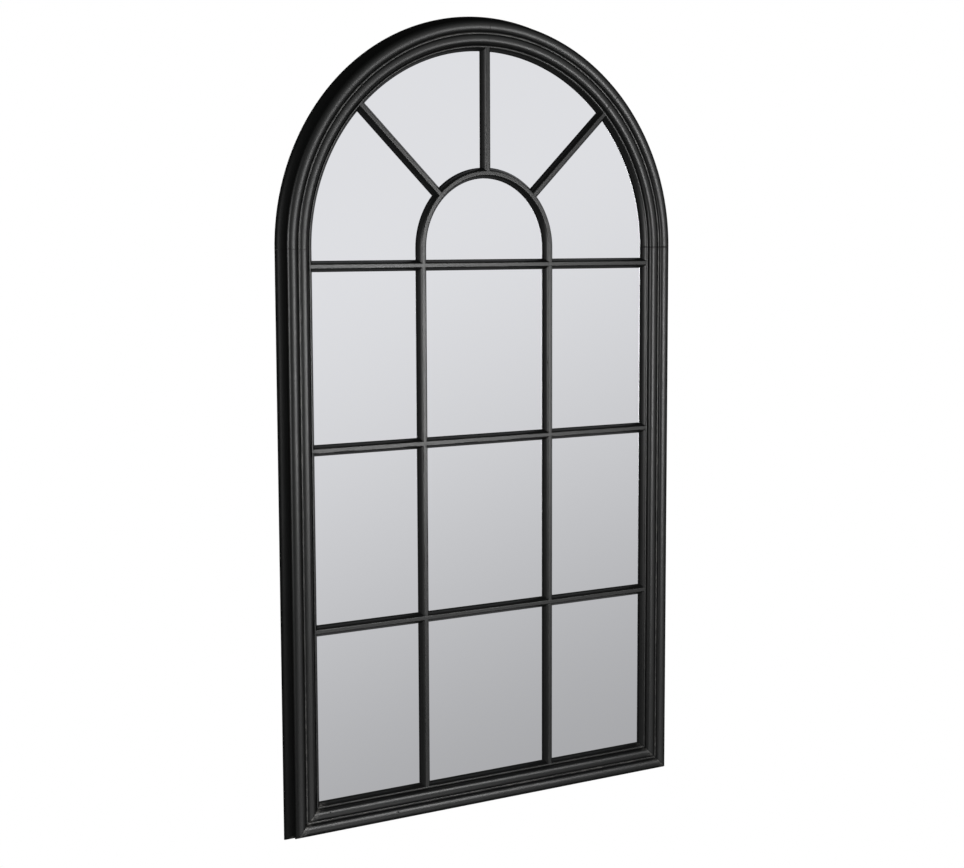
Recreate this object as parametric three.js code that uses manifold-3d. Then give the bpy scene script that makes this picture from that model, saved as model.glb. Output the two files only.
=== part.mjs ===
// Arched window mirror: a black-painted wooden frame with a half-round head, glazing bars laid
// over one mirror plate, a back board, and two ring hangers.
//
// The model is laid out in the arch frame: X to the right, Y towards the wall, Z up, with the
// arch's centre at X = Z = 0 and the flat backs of the bars at Y = 0. The last group carries
// everything to the part's own origin, midway between the two hooks on the face of the wall.
// Sections are drawn across a member: x runs outwards from its inner edge, y towards the wall.

import * as THREE from 'three';
import { mergeVertices } from 'three/addons/utils/BufferGeometryUtils.js';
import Module from 'manifold-3d';

const wasm = await Module();
wasm.setup();

// ---- Driving dimensions, millimetres and degrees ---------------------------------------------

const sightWidth = 680;            // visible width of mirror between the stiles
const paneHeight = 289.8;          // visible height of a pane in the rows below the transom
const paneRows = 3;
const springToTransom = 29.1;      // spring line of the arch down to the transom's centre line
const uprightSpacing = 261.2;      // between the centre lines of the two upright bars
const spokeAngle = 46;             // outer spokes, each side of vertical

const barWidth = 18.8;
const barFlatWidth = 6.4;          // flat front of a bar
const barHeight = 10.6;
const barEdgeHeight = 1.6;         // square edge at the foot of a bar's slope

const smallBeadWidth = 2.6;        // bead along the top of the frame's inner slope
const quirkWidth = 1.2;            // narrow groove on each side of the inner bead
const quirkDepth = 1.7;            // inner quirk, below the bars' front
const innerBeadWidth = 17;
const innerBeadRise = 5.6;         // crown of the inner bead above the bars' front
const outerQuirkRise = 4.2;        // the two outer quirks, above the bars' front
const filletWidth = 2.8;
const filletRise = 1.2;
const outerBeadWidth = 20;
const outerBeadRise = 5.4;         // crown above its own quirk
const beadReturn = 2.6;            // how far the outer bead turns back under itself
const flareWidth = 8.8;            // the hollow side spreads this far beyond the outer bead's foot
const backEdgeHeight = 3.2;        // square edge of the frame against the wall
const backEdgeStep = 1.6;
const backDepth = 14.5;            // frame's back behind the backs of the bars

const seam = 0.3;                  // clearance between pieces that meet
const plateThickness = 3;
const plateEdgeCover = 7.5;        // mirror plate runs this far under the frame
const boardThickness = 5;
const boardEdgeCover = 21.5;

const splineLength = 26;
const splineWidth = 20;
const splineThickness = 4;
const splineDepth = 8;             // spline's centre behind the backs of the bars
const dowelRadius = 2;
const dowelLength = 20;
const screwRadius = 1.6;
const screwHeadRadius = 3.4;
const screwHeadHeight = 2;
const boardScrewLength = 15;
const hangerScrewLength = 13;

const hangerDrop = 90;             // spring line down to the hinge line of the rings
const strapWidth = 16;
const strapLength = 46;            // from the hinge line
const strapThickness = 1.2;
const strapScrewDrop = 26;         // hinge line down to the first screw
const strapScrewPitch = 12;
const ringWireRadius = 1.5;
const ringHalfWidth = 13;          // to the wire's centre line
const ringCornerRadius = 3;
const ringSide = 6;                // hinge line down to the start of the round bow
const bumperRadius = 6;
const bumperHeight = 6;
const bumperRise = 12;             // above the mirror's lower visible edge

// ---- Sizes that follow -----------------------------------------------------------------------

const sightRadius = sightWidth / 2;
const rowPitch = paneHeight + barWidth;
const transomZ = -springToTransom;
const levelBarZ = Array.from({ length: paneRows }, (_, row) => transomZ - row * rowPitch);
const sightBottomZ = transomZ - paneRows * rowPitch + barWidth / 2;
const stileLength = -sightBottomZ;
const uprightX = uprightSpacing / 2;
const slopeWidth = (barWidth - barFlatWidth) / 2;

const smallBeadEnd = slopeWidth + smallBeadWidth;
const innerBeadStart = smallBeadEnd + quirkWidth;
const innerBeadEnd = innerBeadStart + innerBeadWidth;
const filletStart = innerBeadEnd + quirkWidth;
const filletEnd = filletStart + filletWidth;
const outerBeadStart = filletEnd + quirkWidth;
const outerBeadEnd = outerBeadStart + outerBeadWidth;
const frameWidth = outerBeadEnd - beadReturn + flareWidth + backEdgeStep;

const plateRebate = plateEdgeCover + seam;
const boardRebate = boardEdgeCover + seam;
const boardLedgeY = seam + plateThickness;
const boardFrontY = boardLedgeY + seam;
const boardBackY = boardFrontY + boardThickness;
const screwInset = (plateRebate + boardRebate) / 2;
const splineInset = (boardRebate + outerBeadEnd) / 2;
const dowelY = -barHeight * 0.42;

const hangerX = sightRadius + (boardRebate + frameWidth) / 2;
const ringBore = ringWireRadius + seam;
const knuckleRadius = ringBore + strapThickness;
const strapBackY = backDepth + seam;
const strapFrontY = strapBackY + strapThickness;
const strapScrewDrops = [strapScrewDrop, strapScrewDrop + strapScrewPitch];
const ringReach = ringSide + ringHalfWidth - ringWireRadius;
const wallY = backDepth + seam + bumperHeight;

const arcStepsPerJoint = 10;       // one arch member spans 45 degrees
const jointAngle = Math.PI / 4;
const arcBarSteps = 28;
const curveSteps = 5;
const fastenerSides = 8;
const roundSides = 16;

// ---- Materials -------------------------------------------------------------------------------

const paint = new THREE.MeshStandardMaterial({ color: 0x1b1d1c, roughness: 0.42, metalness: 0 });
const mirrorFinish = new THREE.MeshStandardMaterial({ color: 0xd9dade, roughness: 0.03, metalness: 1 });
const board = new THREE.MeshStandardMaterial({ color: 0x6f5a44, roughness: 0.85, metalness: 0 });
const bareWood = new THREE.MeshStandardMaterial({ color: 0xb89468, roughness: 0.8, metalness: 0 });
const zinc = new THREE.MeshStandardMaterial({ color: 0xa9abad, roughness: 0.35, metalness: 1 });
const rubber = new THREE.MeshStandardMaterial({ color: 0x2a2a2a, roughness: 0.9, metalness: 0 });

// ---- Sections --------------------------------------------------------------------------------

// Control point of the rounded slope shared by the bars and the frame's inner edge.
function slopeControl(foot, top) {
  return [foot + (top - foot) * 0.35, -barEdgeHeight - (barHeight - barEdgeHeight) * 0.62];
}

// A bar's section is centred on x = 0. With a margin it becomes the cutter for what meets the bar.
function barSection(margin = 0) {
  const half = barWidth / 2 + margin;
  const flat = barFlatWidth / 2 + margin;
  const shape = new THREE.Shape();
  shape.moveTo(half, margin);
  shape.lineTo(-half, margin);
  shape.lineTo(-half, -barEdgeHeight);
  shape.quadraticCurveTo(...slopeControl(-half, -flat), -flat, -barHeight);
  shape.lineTo(-flat, -barHeight - margin);
  shape.lineTo(flat, -barHeight - margin);
  shape.lineTo(flat, -barHeight);
  shape.quadraticCurveTo(...slopeControl(half, flat), half, -barEdgeHeight);
  return shape;
}

// The frame's section, from its inner edge at x = 0 round the moulded front to the rebated back.
function frameSection() {
  const innerQuirkY = -barHeight + quirkDepth;
  const innerCrownY = -barHeight - innerBeadRise;
  const outerQuirkY = -barHeight - outerQuirkRise;
  const filletY = outerQuirkY - filletRise;
  const beadHalf = outerBeadWidth / 2;
  const beadMiddle = outerBeadStart + beadHalf;
  const footX = outerBeadEnd - beadReturn;
  const footY = outerQuirkY + outerBeadRise;
  const flareY = backDepth - 2 * backEdgeHeight;
  const shape = new THREE.Shape();
  shape.moveTo(0, 0);
  shape.lineTo(0, -barEdgeHeight);
  shape.quadraticCurveTo(...slopeControl(0, slopeWidth), slopeWidth, -barHeight);
  shape.quadraticCurveTo(slopeWidth + smallBeadWidth * 0.6, -barHeight - 0.5, smallBeadEnd, innerQuirkY);
  shape.lineTo(innerBeadStart, innerQuirkY);
  shape.bezierCurveTo(innerBeadStart + innerBeadWidth * 0.05, innerCrownY + innerBeadRise * 0.35,
    innerBeadStart + innerBeadWidth * 0.3, innerCrownY, innerBeadStart + innerBeadWidth * 0.58, innerCrownY);
  shape.quadraticCurveTo(innerBeadEnd - innerBeadWidth * 0.1, innerCrownY, innerBeadEnd, outerQuirkY);
  shape.lineTo(filletStart, outerQuirkY);
  shape.lineTo(filletStart, filletY);
  shape.lineTo(filletEnd, filletY);
  shape.lineTo(filletEnd, outerQuirkY);
  shape.lineTo(outerBeadStart, outerQuirkY);
  shape.absellipse(beadMiddle, outerQuirkY, beadHalf, outerBeadRise, Math.PI, 2 * Math.PI, false);
  shape.quadraticCurveTo(outerBeadEnd, footY, footX, footY);
  shape.quadraticCurveTo(footX, flareY - flareWidth, footX + flareWidth, flareY);
  shape.lineTo(frameWidth, backDepth - backEdgeHeight);
  shape.lineTo(frameWidth, backDepth);
  shape.lineTo(boardRebate, backDepth);
  shape.lineTo(boardRebate, boardLedgeY);
  shape.lineTo(plateRebate, boardLedgeY);
  shape.lineTo(plateRebate, 0);
  return shape;
}

function circleSection(radius, sides) {
  const shape = new THREE.Shape();
  for (let i = 0; i < sides; i++) {
    const turn = (2 * Math.PI * i) / sides;
    const point = [radius * Math.cos(turn), radius * Math.sin(turn)];
    if (i === 0) shape.moveTo(...point);
    else shape.lineTo(...point);
  }
  return shape;
}

// ---- Sweeping a section ----------------------------------------------------------------------

// A station is a matrix that carries the section's plane: its x to the outside of the bend, its
// y to the wall, and its z along the member.
function station(x, z, angle) {
  const outwards = new THREE.Vector3(Math.cos(angle), 0, Math.sin(angle));
  const wallwards = new THREE.Vector3(0, 1, 0);
  const along = new THREE.Vector3(-Math.sin(angle), 0, Math.cos(angle));
  return new THREE.Matrix4().makeBasis(outwards, wallwards, along).setPosition(x, 0, z);
}

function arcStations(centreX, centreZ, radius, from, to, steps) {
  const stations = [];
  for (let i = 0; i <= steps; i++) {
    const angle = from + ((to - from) * i) / steps;
    stations.push(station(centreX + radius * Math.cos(angle), centreZ + radius * Math.sin(angle), angle));
  }
  return stations;
}

// A straight member's end at z, cut square, or leaning by lean millimetres per millimetre of width.
function endStation(z, lean = 0) {
  const outwards = new THREE.Vector3(1, 0, lean);
  const wallwards = new THREE.Vector3(0, 1, 0);
  const along = new THREE.Vector3(0, 0, 1);
  return new THREE.Matrix4().makeBasis(outwards, wallwards, along).setPosition(0, 0, z);
}

function sectionPoints(shape) {
  const points = shape.getPoints(curveSteps).filter((point, i, all) => {
    const next = all[(i + 1) % all.length];
    return point.distanceTo(next) > 1e-4;
  });
  if (THREE.ShapeUtils.isClockWise(points)) points.reverse();
  return points;
}

function sweep(shape, stations, closed = false) {
  const points = sectionPoints(shape);
  const count = points.length;
  const position = [];
  for (const matrix of stations) {
    for (const point of points) {
      position.push(...new THREE.Vector3(point.x, point.y, 0).applyMatrix4(matrix).toArray());
    }
  }
  const index = [];
  const spans = closed ? stations.length : stations.length - 1;
  for (let s = 0; s < spans; s++) {
    const here = s * count;
    const there = ((s + 1) % stations.length) * count;
    for (let i = 0; i < count; i++) {
      const j = (i + 1) % count;
      index.push(here + i, here + j, there + j, here + i, there + j, there + i);
    }
  }
  if (!closed) {
    const last = (stations.length - 1) * count;
    for (const [a, b, c] of THREE.ShapeUtils.triangulateShape(points, [])) {
      index.push(c, b, a, last + a, last + b, last + c);
    }
  }
  const geometry = new THREE.BufferGeometry();
  geometry.setAttribute('position', new THREE.Float32BufferAttribute(position, 3));
  geometry.setIndex(index);
  return geometry;
}

// ---- Joining and cutting ---------------------------------------------------------------------

function solidOf(geometry) {
  const bare = geometry.clone();
  bare.deleteAttribute('normal');
  bare.deleteAttribute('uv');
  const merged = mergeVertices(bare, 1e-4);
  const mesh = new wasm.Mesh({
    numProp: 3,
    vertProperties: new Float32Array(merged.attributes.position.array),
    triVerts: new Uint32Array(merged.index.array),
  });
  return new wasm.Manifold(mesh);
}

function geometryOf(solid) {
  const mesh = solid.getMesh();
  const geometry = new THREE.BufferGeometry();
  geometry.setAttribute('position', new THREE.BufferAttribute(mesh.vertProperties, 3));
  geometry.setIndex(new THREE.BufferAttribute(mesh.triVerts, 1));
  return geometry;
}

function cut(geometry, cutters) {
  let solid = solidOf(geometry);
  for (const cutter of cutters) solid = solid.subtract(solidOf(cutter));
  return geometryOf(solid);
}

function placed(geometry, x, y, z, turn = 0) {
  return geometry.clone().rotateY(turn).translate(x, y, z);
}

// ---- Small pieces ----------------------------------------------------------------------------

// Round along Y, its head towards the wall and its point into the wood.
function screw(length) {
  const profile = [
    [0, -length], [screwRadius * 0.3, -length], [screwRadius, -length + 3 * screwRadius], [screwRadius, 0],
    [screwHeadRadius, 0], [screwHeadRadius * 0.8, screwHeadHeight * 0.75],
    [screwHeadRadius * 0.3, screwHeadHeight], [0, screwHeadHeight],
  ].map(([x, y]) => new THREE.Vector2(x, y));
  return new THREE.LatheGeometry(profile, fastenerSides);
}

function roundAlongY(radius, from, to, sides = fastenerSides) {
  return new THREE.CylinderGeometry(radius, radius, to - from, sides).translate(0, (from + to) / 2, 0);
}

function screwHole(length) {
  return roundAlongY(screwRadius + seam, -length - seam, 1);
}

// Round along Z, about the middle of the joint between a bar's end and the frame.
function dowel(margin = 0) {
  const geometry = new THREE.CylinderGeometry(dowelRadius + margin, dowelRadius + margin,
    dowelLength + 2 * margin, fastenerSides);
  return geometry.rotateX(Math.PI / 2).translate(0, dowelY, 0);
}

// Flat tongue across a joint in the frame, along the member's z.
function spline(margin = 0) {
  return new THREE.BoxGeometry(splineWidth + 2 * margin, splineThickness + 2 * margin,
    splineLength + 2 * margin).translate(splineInset, splineDepth, 0);
}

// ---- Frame members ---------------------------------------------------------------------------

// Each member is drawn with its inner edge along z at x = 0, then turned into its place.

// The tongue of a mitred corner lies square to the mitre, which leans at 45 degrees.
function mitreSpline(z, turn) {
  return placed(spline(seam).translate(-splineInset, 0, 0), splineInset, 0, z, turn);
}

const stileScrewDrops = [0.25, 0.75].map((share) => share * stileLength);
const railScrewOffsets = [-0.25, 0.25].map((share) => share * sightWidth);

// The right stile hangs from the spring line. The left one is turned about Y, so it is drawn
// upside down: downwards changes sign, and the spring line is at its lower end.
function stile(downwards) {
  const foot = downwards * (stileLength - seam / 2);
  const head = (downwards * seam) / 2;
  const stations = [endStation(foot, downwards), endStation(head)];
  if (foot > head) stations.reverse();
  const corner = downwards * (stileLength + splineInset);
  const cutters = [spline(seam), mitreSpline(corner, (-downwards * Math.PI) / 4)];
  for (const z of levelBarZ) cutters.push(placed(dowel(seam), 0, 0, -downwards * z, Math.PI / 2));
  for (const drop of stileScrewDrops) {
    cutters.push(placed(screwHole(boardScrewLength), screwInset, boardBackY, downwards * drop));
  }
  for (const drop of strapScrewDrops) {
    const z = downwards * (hangerDrop + drop);
    cutters.push(placed(screwHole(hangerScrewLength), hangerX - sightRadius, strapFrontY, z));
  }
  return cut(sweep(frameSection(), stations), cutters);
}

function bottomRail() {
  const half = sightRadius - seam / 2;
  const corner = sightRadius + splineInset;
  const cutters = [mitreSpline(-corner, Math.PI / 4), mitreSpline(corner, -Math.PI / 4)];
  for (const x of [-uprightX, uprightX]) cutters.push(placed(dowel(seam), 0, 0, x, Math.PI / 2));
  for (const x of railScrewOffsets) {
    cutters.push(placed(screwHole(boardScrewLength), screwInset, boardBackY, x));
  }
  return cut(sweep(frameSection(), [endStation(-half, -1), endStation(half, 1)]), cutters);
}

// An eighth of the ring, from the angle 0 upwards, about the arch's centre.
function archMember(spokeAngles) {
  const relief = seam / 2 / sightRadius;
  const stations = arcStations(0, 0, sightRadius, relief, jointAngle - relief, arcStepsPerJoint);
  const tongue = placed(spline(seam), sightRadius, 0, 0);
  const hole = placed(screwHole(boardScrewLength), sightRadius + screwInset, boardBackY, 0);
  const cutters = [tongue, tongue.clone().rotateY(-jointAngle), hole.rotateY(-jointAngle / 2)];
  for (const angle of spokeAngles) {
    cutters.push(placed(dowel(seam), 0, 0, sightRadius).rotateY(Math.PI / 2 - angle));
  }
  return cut(sweep(frameSection(), stations), cutters);
}

// ---- Glazing bars ----------------------------------------------------------------------------

// A bar between two members whose centre lines are span apart, its ends fitted over their slopes.
function straightBar(span, dowelledEnds) {
  const geometry = sweep(barSection(), [endStation(-span / 2), endStation(span / 2)]);
  const reach = barWidth;
  const cutters = [];
  for (const end of [-1, 1]) {
    const crossing = sweep(barSection(seam), [endStation(-reach), endStation(reach)]);
    cutters.push(placed(crossing, 0, 0, (end * span) / 2, Math.PI / 2));
    if (dowelledEnds.includes(end)) {
      cutters.push(placed(dowel(seam), 0, 0, end * (span / 2 - barWidth / 2)));
    }
  }
  return cut(geometry, cutters);
}

// Half a circle of bar on two short feet that stand on the transom.
function arcBar() {
  const stations = [
    station(uprightX, transomZ, 0),
    ...arcStations(0, 0, uprightX, 0, Math.PI, arcBarSteps),
    station(-uprightX, transomZ, Math.PI),
  ];
  const transom = sweep(barSection(seam), [endStation(-sightRadius), endStation(sightRadius)]);
  return cut(sweep(barSection(), stations), [placed(transom, 0, 0, transomZ, Math.PI / 2)]);
}

// A radial bar along z, from the arc bar's centre line to the frame.
function spoke() {
  const outer = sightRadius + barWidth / 2;
  const geometry = sweep(barSection(), [endStation(uprightX), endStation(outer)]);
  const around = (radius) => {
    const middle = Math.PI / 2;
    const spread = barWidth / radius;
    return sweep(barSection(seam), arcStations(0, 0, radius, middle - spread, middle + spread, 12));
  };
  return cut(geometry, [around(uprightX), around(outer), placed(dowel(seam), 0, 0, sightRadius)]);
}

// ---- Mirror plate and back board -------------------------------------------------------------

function archedPanel(edgeCover, thickness) {
  const radius = sightRadius + edgeCover;
  const shape = new THREE.Shape();
  shape.moveTo(-radius, sightBottomZ - edgeCover);
  shape.lineTo(radius, sightBottomZ - edgeCover);
  shape.lineTo(radius, 0);
  shape.absarc(0, 0, radius, 0, Math.PI, false);
  const panel = new THREE.ExtrudeGeometry(shape, {
    depth: thickness, bevelEnabled: false, curveSegments: 4 * arcStepsPerJoint,
  });
  return panel.rotateX(Math.PI / 2).translate(0, thickness, 0);
}

function boardScrewPlaces() {
  const places = [];
  for (const drop of stileScrewDrops) {
    for (const side of [-1, 1]) places.push([side * (sightRadius + screwInset), -drop]);
  }
  for (const x of railScrewOffsets) places.push([x, sightBottomZ - screwInset]);
  for (let i = 0; i < 4; i++) {
    const angle = (i + 0.5) * jointAngle;
    const radius = sightRadius + screwInset;
    places.push([radius * Math.cos(angle), radius * Math.sin(angle)]);
  }
  return places;
}

function backBoard() {
  const holes = boardScrewPlaces().map(([x, z]) =>
    placed(roundAlongY(screwRadius + seam, -1, boardThickness + 1), x, 0, z));
  return cut(archedPanel(boardEdgeCover, boardThickness), holes);
}

// ---- Ring hangers ----------------------------------------------------------------------------

// The strap's side view is drawn in (drop, distance from the frame) and pushed out to its width.
function hangerStrap() {
  const shape = new THREE.Shape();
  const joinAngle = Math.PI + Math.asin((knuckleRadius - strapThickness) / knuckleRadius);
  shape.moveTo(-strapLength, 0);
  shape.lineTo(0, 0);
  shape.absarc(0, knuckleRadius, knuckleRadius, -Math.PI / 2, joinAngle, false);
  shape.lineTo(-strapLength, strapThickness);
  const bore = new THREE.Path();
  bore.absarc(0, knuckleRadius, ringBore, 0, 2 * Math.PI, true);
  shape.holes.push(bore);
  const plate = new THREE.ExtrudeGeometry(shape, {
    depth: strapWidth, bevelEnabled: false, curveSegments: roundSides,
  });
  // The drawing's x (up the strap) becomes Z, its y stays Y, and its depth becomes X.
  plate.rotateY(-Math.PI / 2).translate(strapWidth / 2, 0, 0);
  const holes = strapScrewDrops.map((drop) =>
    placed(roundAlongY(screwRadius + seam, -1, strapThickness + 1), 0, 0, -drop));
  return cut(plate, holes);
}

// A closed D of wire, its straight back on the hinge line, hanging down.
function hangerRing() {
  const inset = ringHalfWidth - ringCornerRadius;
  const quarter = Math.PI / 2;
  const stations = [
    ...arcStations(inset, -ringCornerRadius, ringCornerRadius, 0, quarter, 3),
    ...arcStations(-inset, -ringCornerRadius, ringCornerRadius, quarter, 2 * quarter, 3),
    ...arcStations(0, -ringSide, ringHalfWidth, 2 * quarter, 4 * quarter, 12),
  ];
  return sweep(circleSection(ringWireRadius, 10), stations, true);
}

// ---- Assembly --------------------------------------------------------------------------------

const archFrame = new THREE.Group();

function add(name, geometry, material, parent = archFrame) {
  const flat = geometry.index ? geometry.toNonIndexed() : geometry;
  flat.computeVertexNormals();
  const mesh = new THREE.Mesh(flat, material);
  mesh.name = name;
  parent.add(mesh);
  return mesh;
}

const sides = [['left', -1], ['right', 1]];
const spokes = [['left_spoke', -spokeAngle], ['centre_spoke', 0], ['right_spoke', spokeAngle]];
const levelBarNames = levelBarZ.map((_, row) => (row === 0 ? 'transom_bar' : `cross_bar_${row}`));

// A group turned about the arch's centre.
function turnedGroup(angle) {
  const group = new THREE.Group();
  group.rotation.y = angle;
  archFrame.add(group);
  return group;
}

function addFrame() {
  add('right_stile', stile(-1), paint).position.x = sightRadius;
  const left = add('left_stile', stile(1), paint);
  left.position.x = -sightRadius;
  left.rotation.y = Math.PI;
  const rail = add('bottom_rail', bottomRail(), paint);
  rail.position.z = sightBottomZ;
  rail.rotation.y = Math.PI / 2;
  const spokeAngles = spokes.map(([, lean]) => THREE.MathUtils.degToRad(90 - lean));
  ['arch_lower_right', 'arch_upper_right', 'arch_upper_left', 'arch_lower_left'].forEach((name, i) => {
    const fromMember = spokeAngles.map((angle) => angle - i * jointAngle);
    add(name, archMember(fromMember), paint, turnedGroup(-i * jointAngle));
  });
}

function addBars() {
  levelBarZ.forEach((z, i) => {
    const bar = add(levelBarNames[i], straightBar(sightWidth + barWidth, [-1, 1]), paint);
    bar.position.z = z;
    bar.rotation.y = Math.PI / 2;
    for (const [side, sign] of sides) {
      const dowelledEnds = i === paneRows - 1 ? [-1] : [];
      const upright = add(`${side}_upright_${i + 1}`, straightBar(rowPitch, dowelledEnds), paint);
      upright.position.set(sign * uprightX, 0, z - rowPitch / 2);
    }
  });
  add('arc_bar', arcBar(), paint);
  for (const [name, lean] of spokes) add(name, spoke(), paint, turnedGroup(THREE.MathUtils.degToRad(lean)));
}

function addPlateAndBoard() {
  add('mirror_plate', archedPanel(plateEdgeCover, plateThickness), mirrorFinish).position.y = seam;
  add('back_board', backBoard(), board).position.y = boardFrontY;
  boardScrewPlaces().forEach(([x, z], i) => {
    add(`board_screw_${i + 1}`, screw(boardScrewLength), zinc).position.set(x, boardBackY + seam, z);
  });
}

function addSplines() {
  ['right_spring', 'right_arch', 'crown', 'left_arch', 'left_spring'].forEach((joint, i) => {
    add(`${joint}_spline`, spline(), bareWood, turnedGroup(-i * jointAngle)).position.x = sightRadius;
  });
  for (const [side, sign] of sides) {
    const tongue = add(`bottom_${side}_spline`, spline().translate(-splineInset, 0, 0), bareWood);
    tongue.position.set(sign * (sightRadius + splineInset), 0, sightBottomZ - splineInset);
    tongue.rotation.y = (sign * Math.PI) / 4;
  }
}

function addDowels() {
  for (const [side, sign] of sides) {
    levelBarZ.forEach((z, i) => {
      const pin = add(`${levelBarNames[i]}_${side}_dowel`, dowel(), bareWood);
      pin.position.set(sign * sightRadius, 0, z);
      pin.rotation.y = Math.PI / 2;
    });
    add(`${side}_upright_dowel`, dowel(), bareWood).position.set(sign * uprightX, 0, sightBottomZ);
  }
  for (const [name, lean] of spokes) {
    const turned = turnedGroup(THREE.MathUtils.degToRad(lean));
    add(`${name}_dowel`, dowel(), bareWood, turned).position.z = sightRadius;
  }
}

function addHangers() {
  for (const [side, sign] of sides) {
    const hanger = new THREE.Group();
    hanger.position.set(sign * hangerX, strapBackY, -hangerDrop);
    add(`${side}_hanger_strap`, hangerStrap(), zinc, hanger);
    add(`${side}_hanger_ring`, hangerRing(), zinc, hanger).position.y = knuckleRadius;
    strapScrewDrops.forEach((drop, i) => {
      const fastener = add(`${side}_hanger_screw_${i + 1}`, screw(hangerScrewLength), zinc, hanger);
      fastener.position.set(0, strapThickness + seam, -drop);
    });
    archFrame.add(hanger);
  }
}

function addBumpers() {
  const bumperZ = sightBottomZ + bumperRise;
  for (const [side, sign] of sides) {
    const pad = add(`${side}_wall_bumper`, roundAlongY(bumperRadius, 0, bumperHeight, roundSides), rubber);
    pad.position.set(sign * hangerX, backDepth + seam, bumperZ);
  }
}

addFrame();
addBars();
addPlateAndBoard();
addSplines();
addDowels();
addHangers();
addBumpers();
archFrame.position.set(0, -wallY, hangerDrop - ringReach);

const windowMirror = new THREE.Group();
windowMirror.add(archFrame);

export default windowMirror;
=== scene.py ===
"""Arched window mirror: moulded black frame, glazing bars, mirror plate, board and ring hangers.

Lengths are in metres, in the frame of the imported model: X to the right, Y into the wall, Z up.
A moulding's section is drawn with x outwards from its inner edge and y towards the wall.
"""

import math
from contextlib import contextmanager

import bmesh
import bpy
from mathutils import Matrix, Vector


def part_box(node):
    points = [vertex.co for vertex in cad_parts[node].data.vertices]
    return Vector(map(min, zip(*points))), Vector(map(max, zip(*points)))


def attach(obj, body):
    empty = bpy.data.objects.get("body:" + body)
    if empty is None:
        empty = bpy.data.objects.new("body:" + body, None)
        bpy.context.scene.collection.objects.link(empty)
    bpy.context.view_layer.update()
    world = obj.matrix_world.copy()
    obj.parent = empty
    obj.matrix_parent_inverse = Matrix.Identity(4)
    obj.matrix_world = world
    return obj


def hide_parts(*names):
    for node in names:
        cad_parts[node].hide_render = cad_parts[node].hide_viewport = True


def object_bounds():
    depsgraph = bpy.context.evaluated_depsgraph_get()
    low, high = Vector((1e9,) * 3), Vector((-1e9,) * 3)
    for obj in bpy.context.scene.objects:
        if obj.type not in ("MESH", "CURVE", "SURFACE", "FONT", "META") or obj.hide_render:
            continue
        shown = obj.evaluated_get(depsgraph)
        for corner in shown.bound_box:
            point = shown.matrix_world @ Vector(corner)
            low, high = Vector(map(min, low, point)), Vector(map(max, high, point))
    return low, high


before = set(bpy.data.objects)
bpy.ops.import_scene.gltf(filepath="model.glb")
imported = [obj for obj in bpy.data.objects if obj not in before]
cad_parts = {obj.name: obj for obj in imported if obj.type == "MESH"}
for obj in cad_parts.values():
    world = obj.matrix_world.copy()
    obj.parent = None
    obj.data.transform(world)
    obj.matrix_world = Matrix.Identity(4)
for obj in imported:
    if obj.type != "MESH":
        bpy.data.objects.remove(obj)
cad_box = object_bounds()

bl_info = {
    "name": "Arched Window Mirror",
    "version": (1, 0, 0),
    "blender": (4, 5, 0),
    "location": "View3D > Sidebar > Window Mirror",
    "description": "Builds an arched window mirror with its moulded frame, bars and hangers",
    "category": "Object",
}

MM = 0.001
MIRROR_BODY = "mirror"
SIDES = ("left", "right")

# ---- Places read from the frame --------------------------------------------------------------

SEAM = 0.3 * MM  # the solids stand this far apart


def middle(node):
    """Centre of a node's box."""
    low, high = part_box(node)
    return (low + high) / 2


STILE_LOW, STILE_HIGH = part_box("right_stile")
SIGHT_RADIUS = STILE_LOW.x
FRAME_WIDTH = STILE_HIGH.x - STILE_LOW.x
ARCH_Z = STILE_HIGH.z + SEAM / 2
SIGHT_BOTTOM_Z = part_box("bottom_rail")[1].z
BAR_BACKS_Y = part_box("mirror_plate")[0].y - SEAM
FRAME_BACK_Y = STILE_HIGH.y
LEVEL_BARS = ("transom_bar", "cross_bar_1", "cross_bar_2")
LEVEL_BAR_Z = [middle(name).z for name in LEVEL_BARS]
UPRIGHT_X = middle("right_upright_1").x
ARCH_JOINT_ANGLE = math.pi / 4
SPOKE_ANGLE = math.radians(46)


# ---- Sizes and colours that a user may change ------------------------------------------------


def length_prop(name, description, millimetres):
    """A length property with its default in millimetres."""
    common = dict(name=name, description=description, default=millimetres * MM)
    return bpy.props.FloatProperty(min=0.0, precision=5, unit="LENGTH", **common)


def colour_prop(name, description, default):
    """A linear RGB colour property."""
    common = dict(name=name, description=description, default=default)
    return bpy.props.FloatVectorProperty(size=3, min=0.0, max=1.0, subtype="COLOR", **common)


def number_prop(name, description, default, top=1.0):
    """A plain number from nought to top."""
    return bpy.props.FloatProperty(
        name=name, description=description, default=default, min=0.0, max=top
    )


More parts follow.
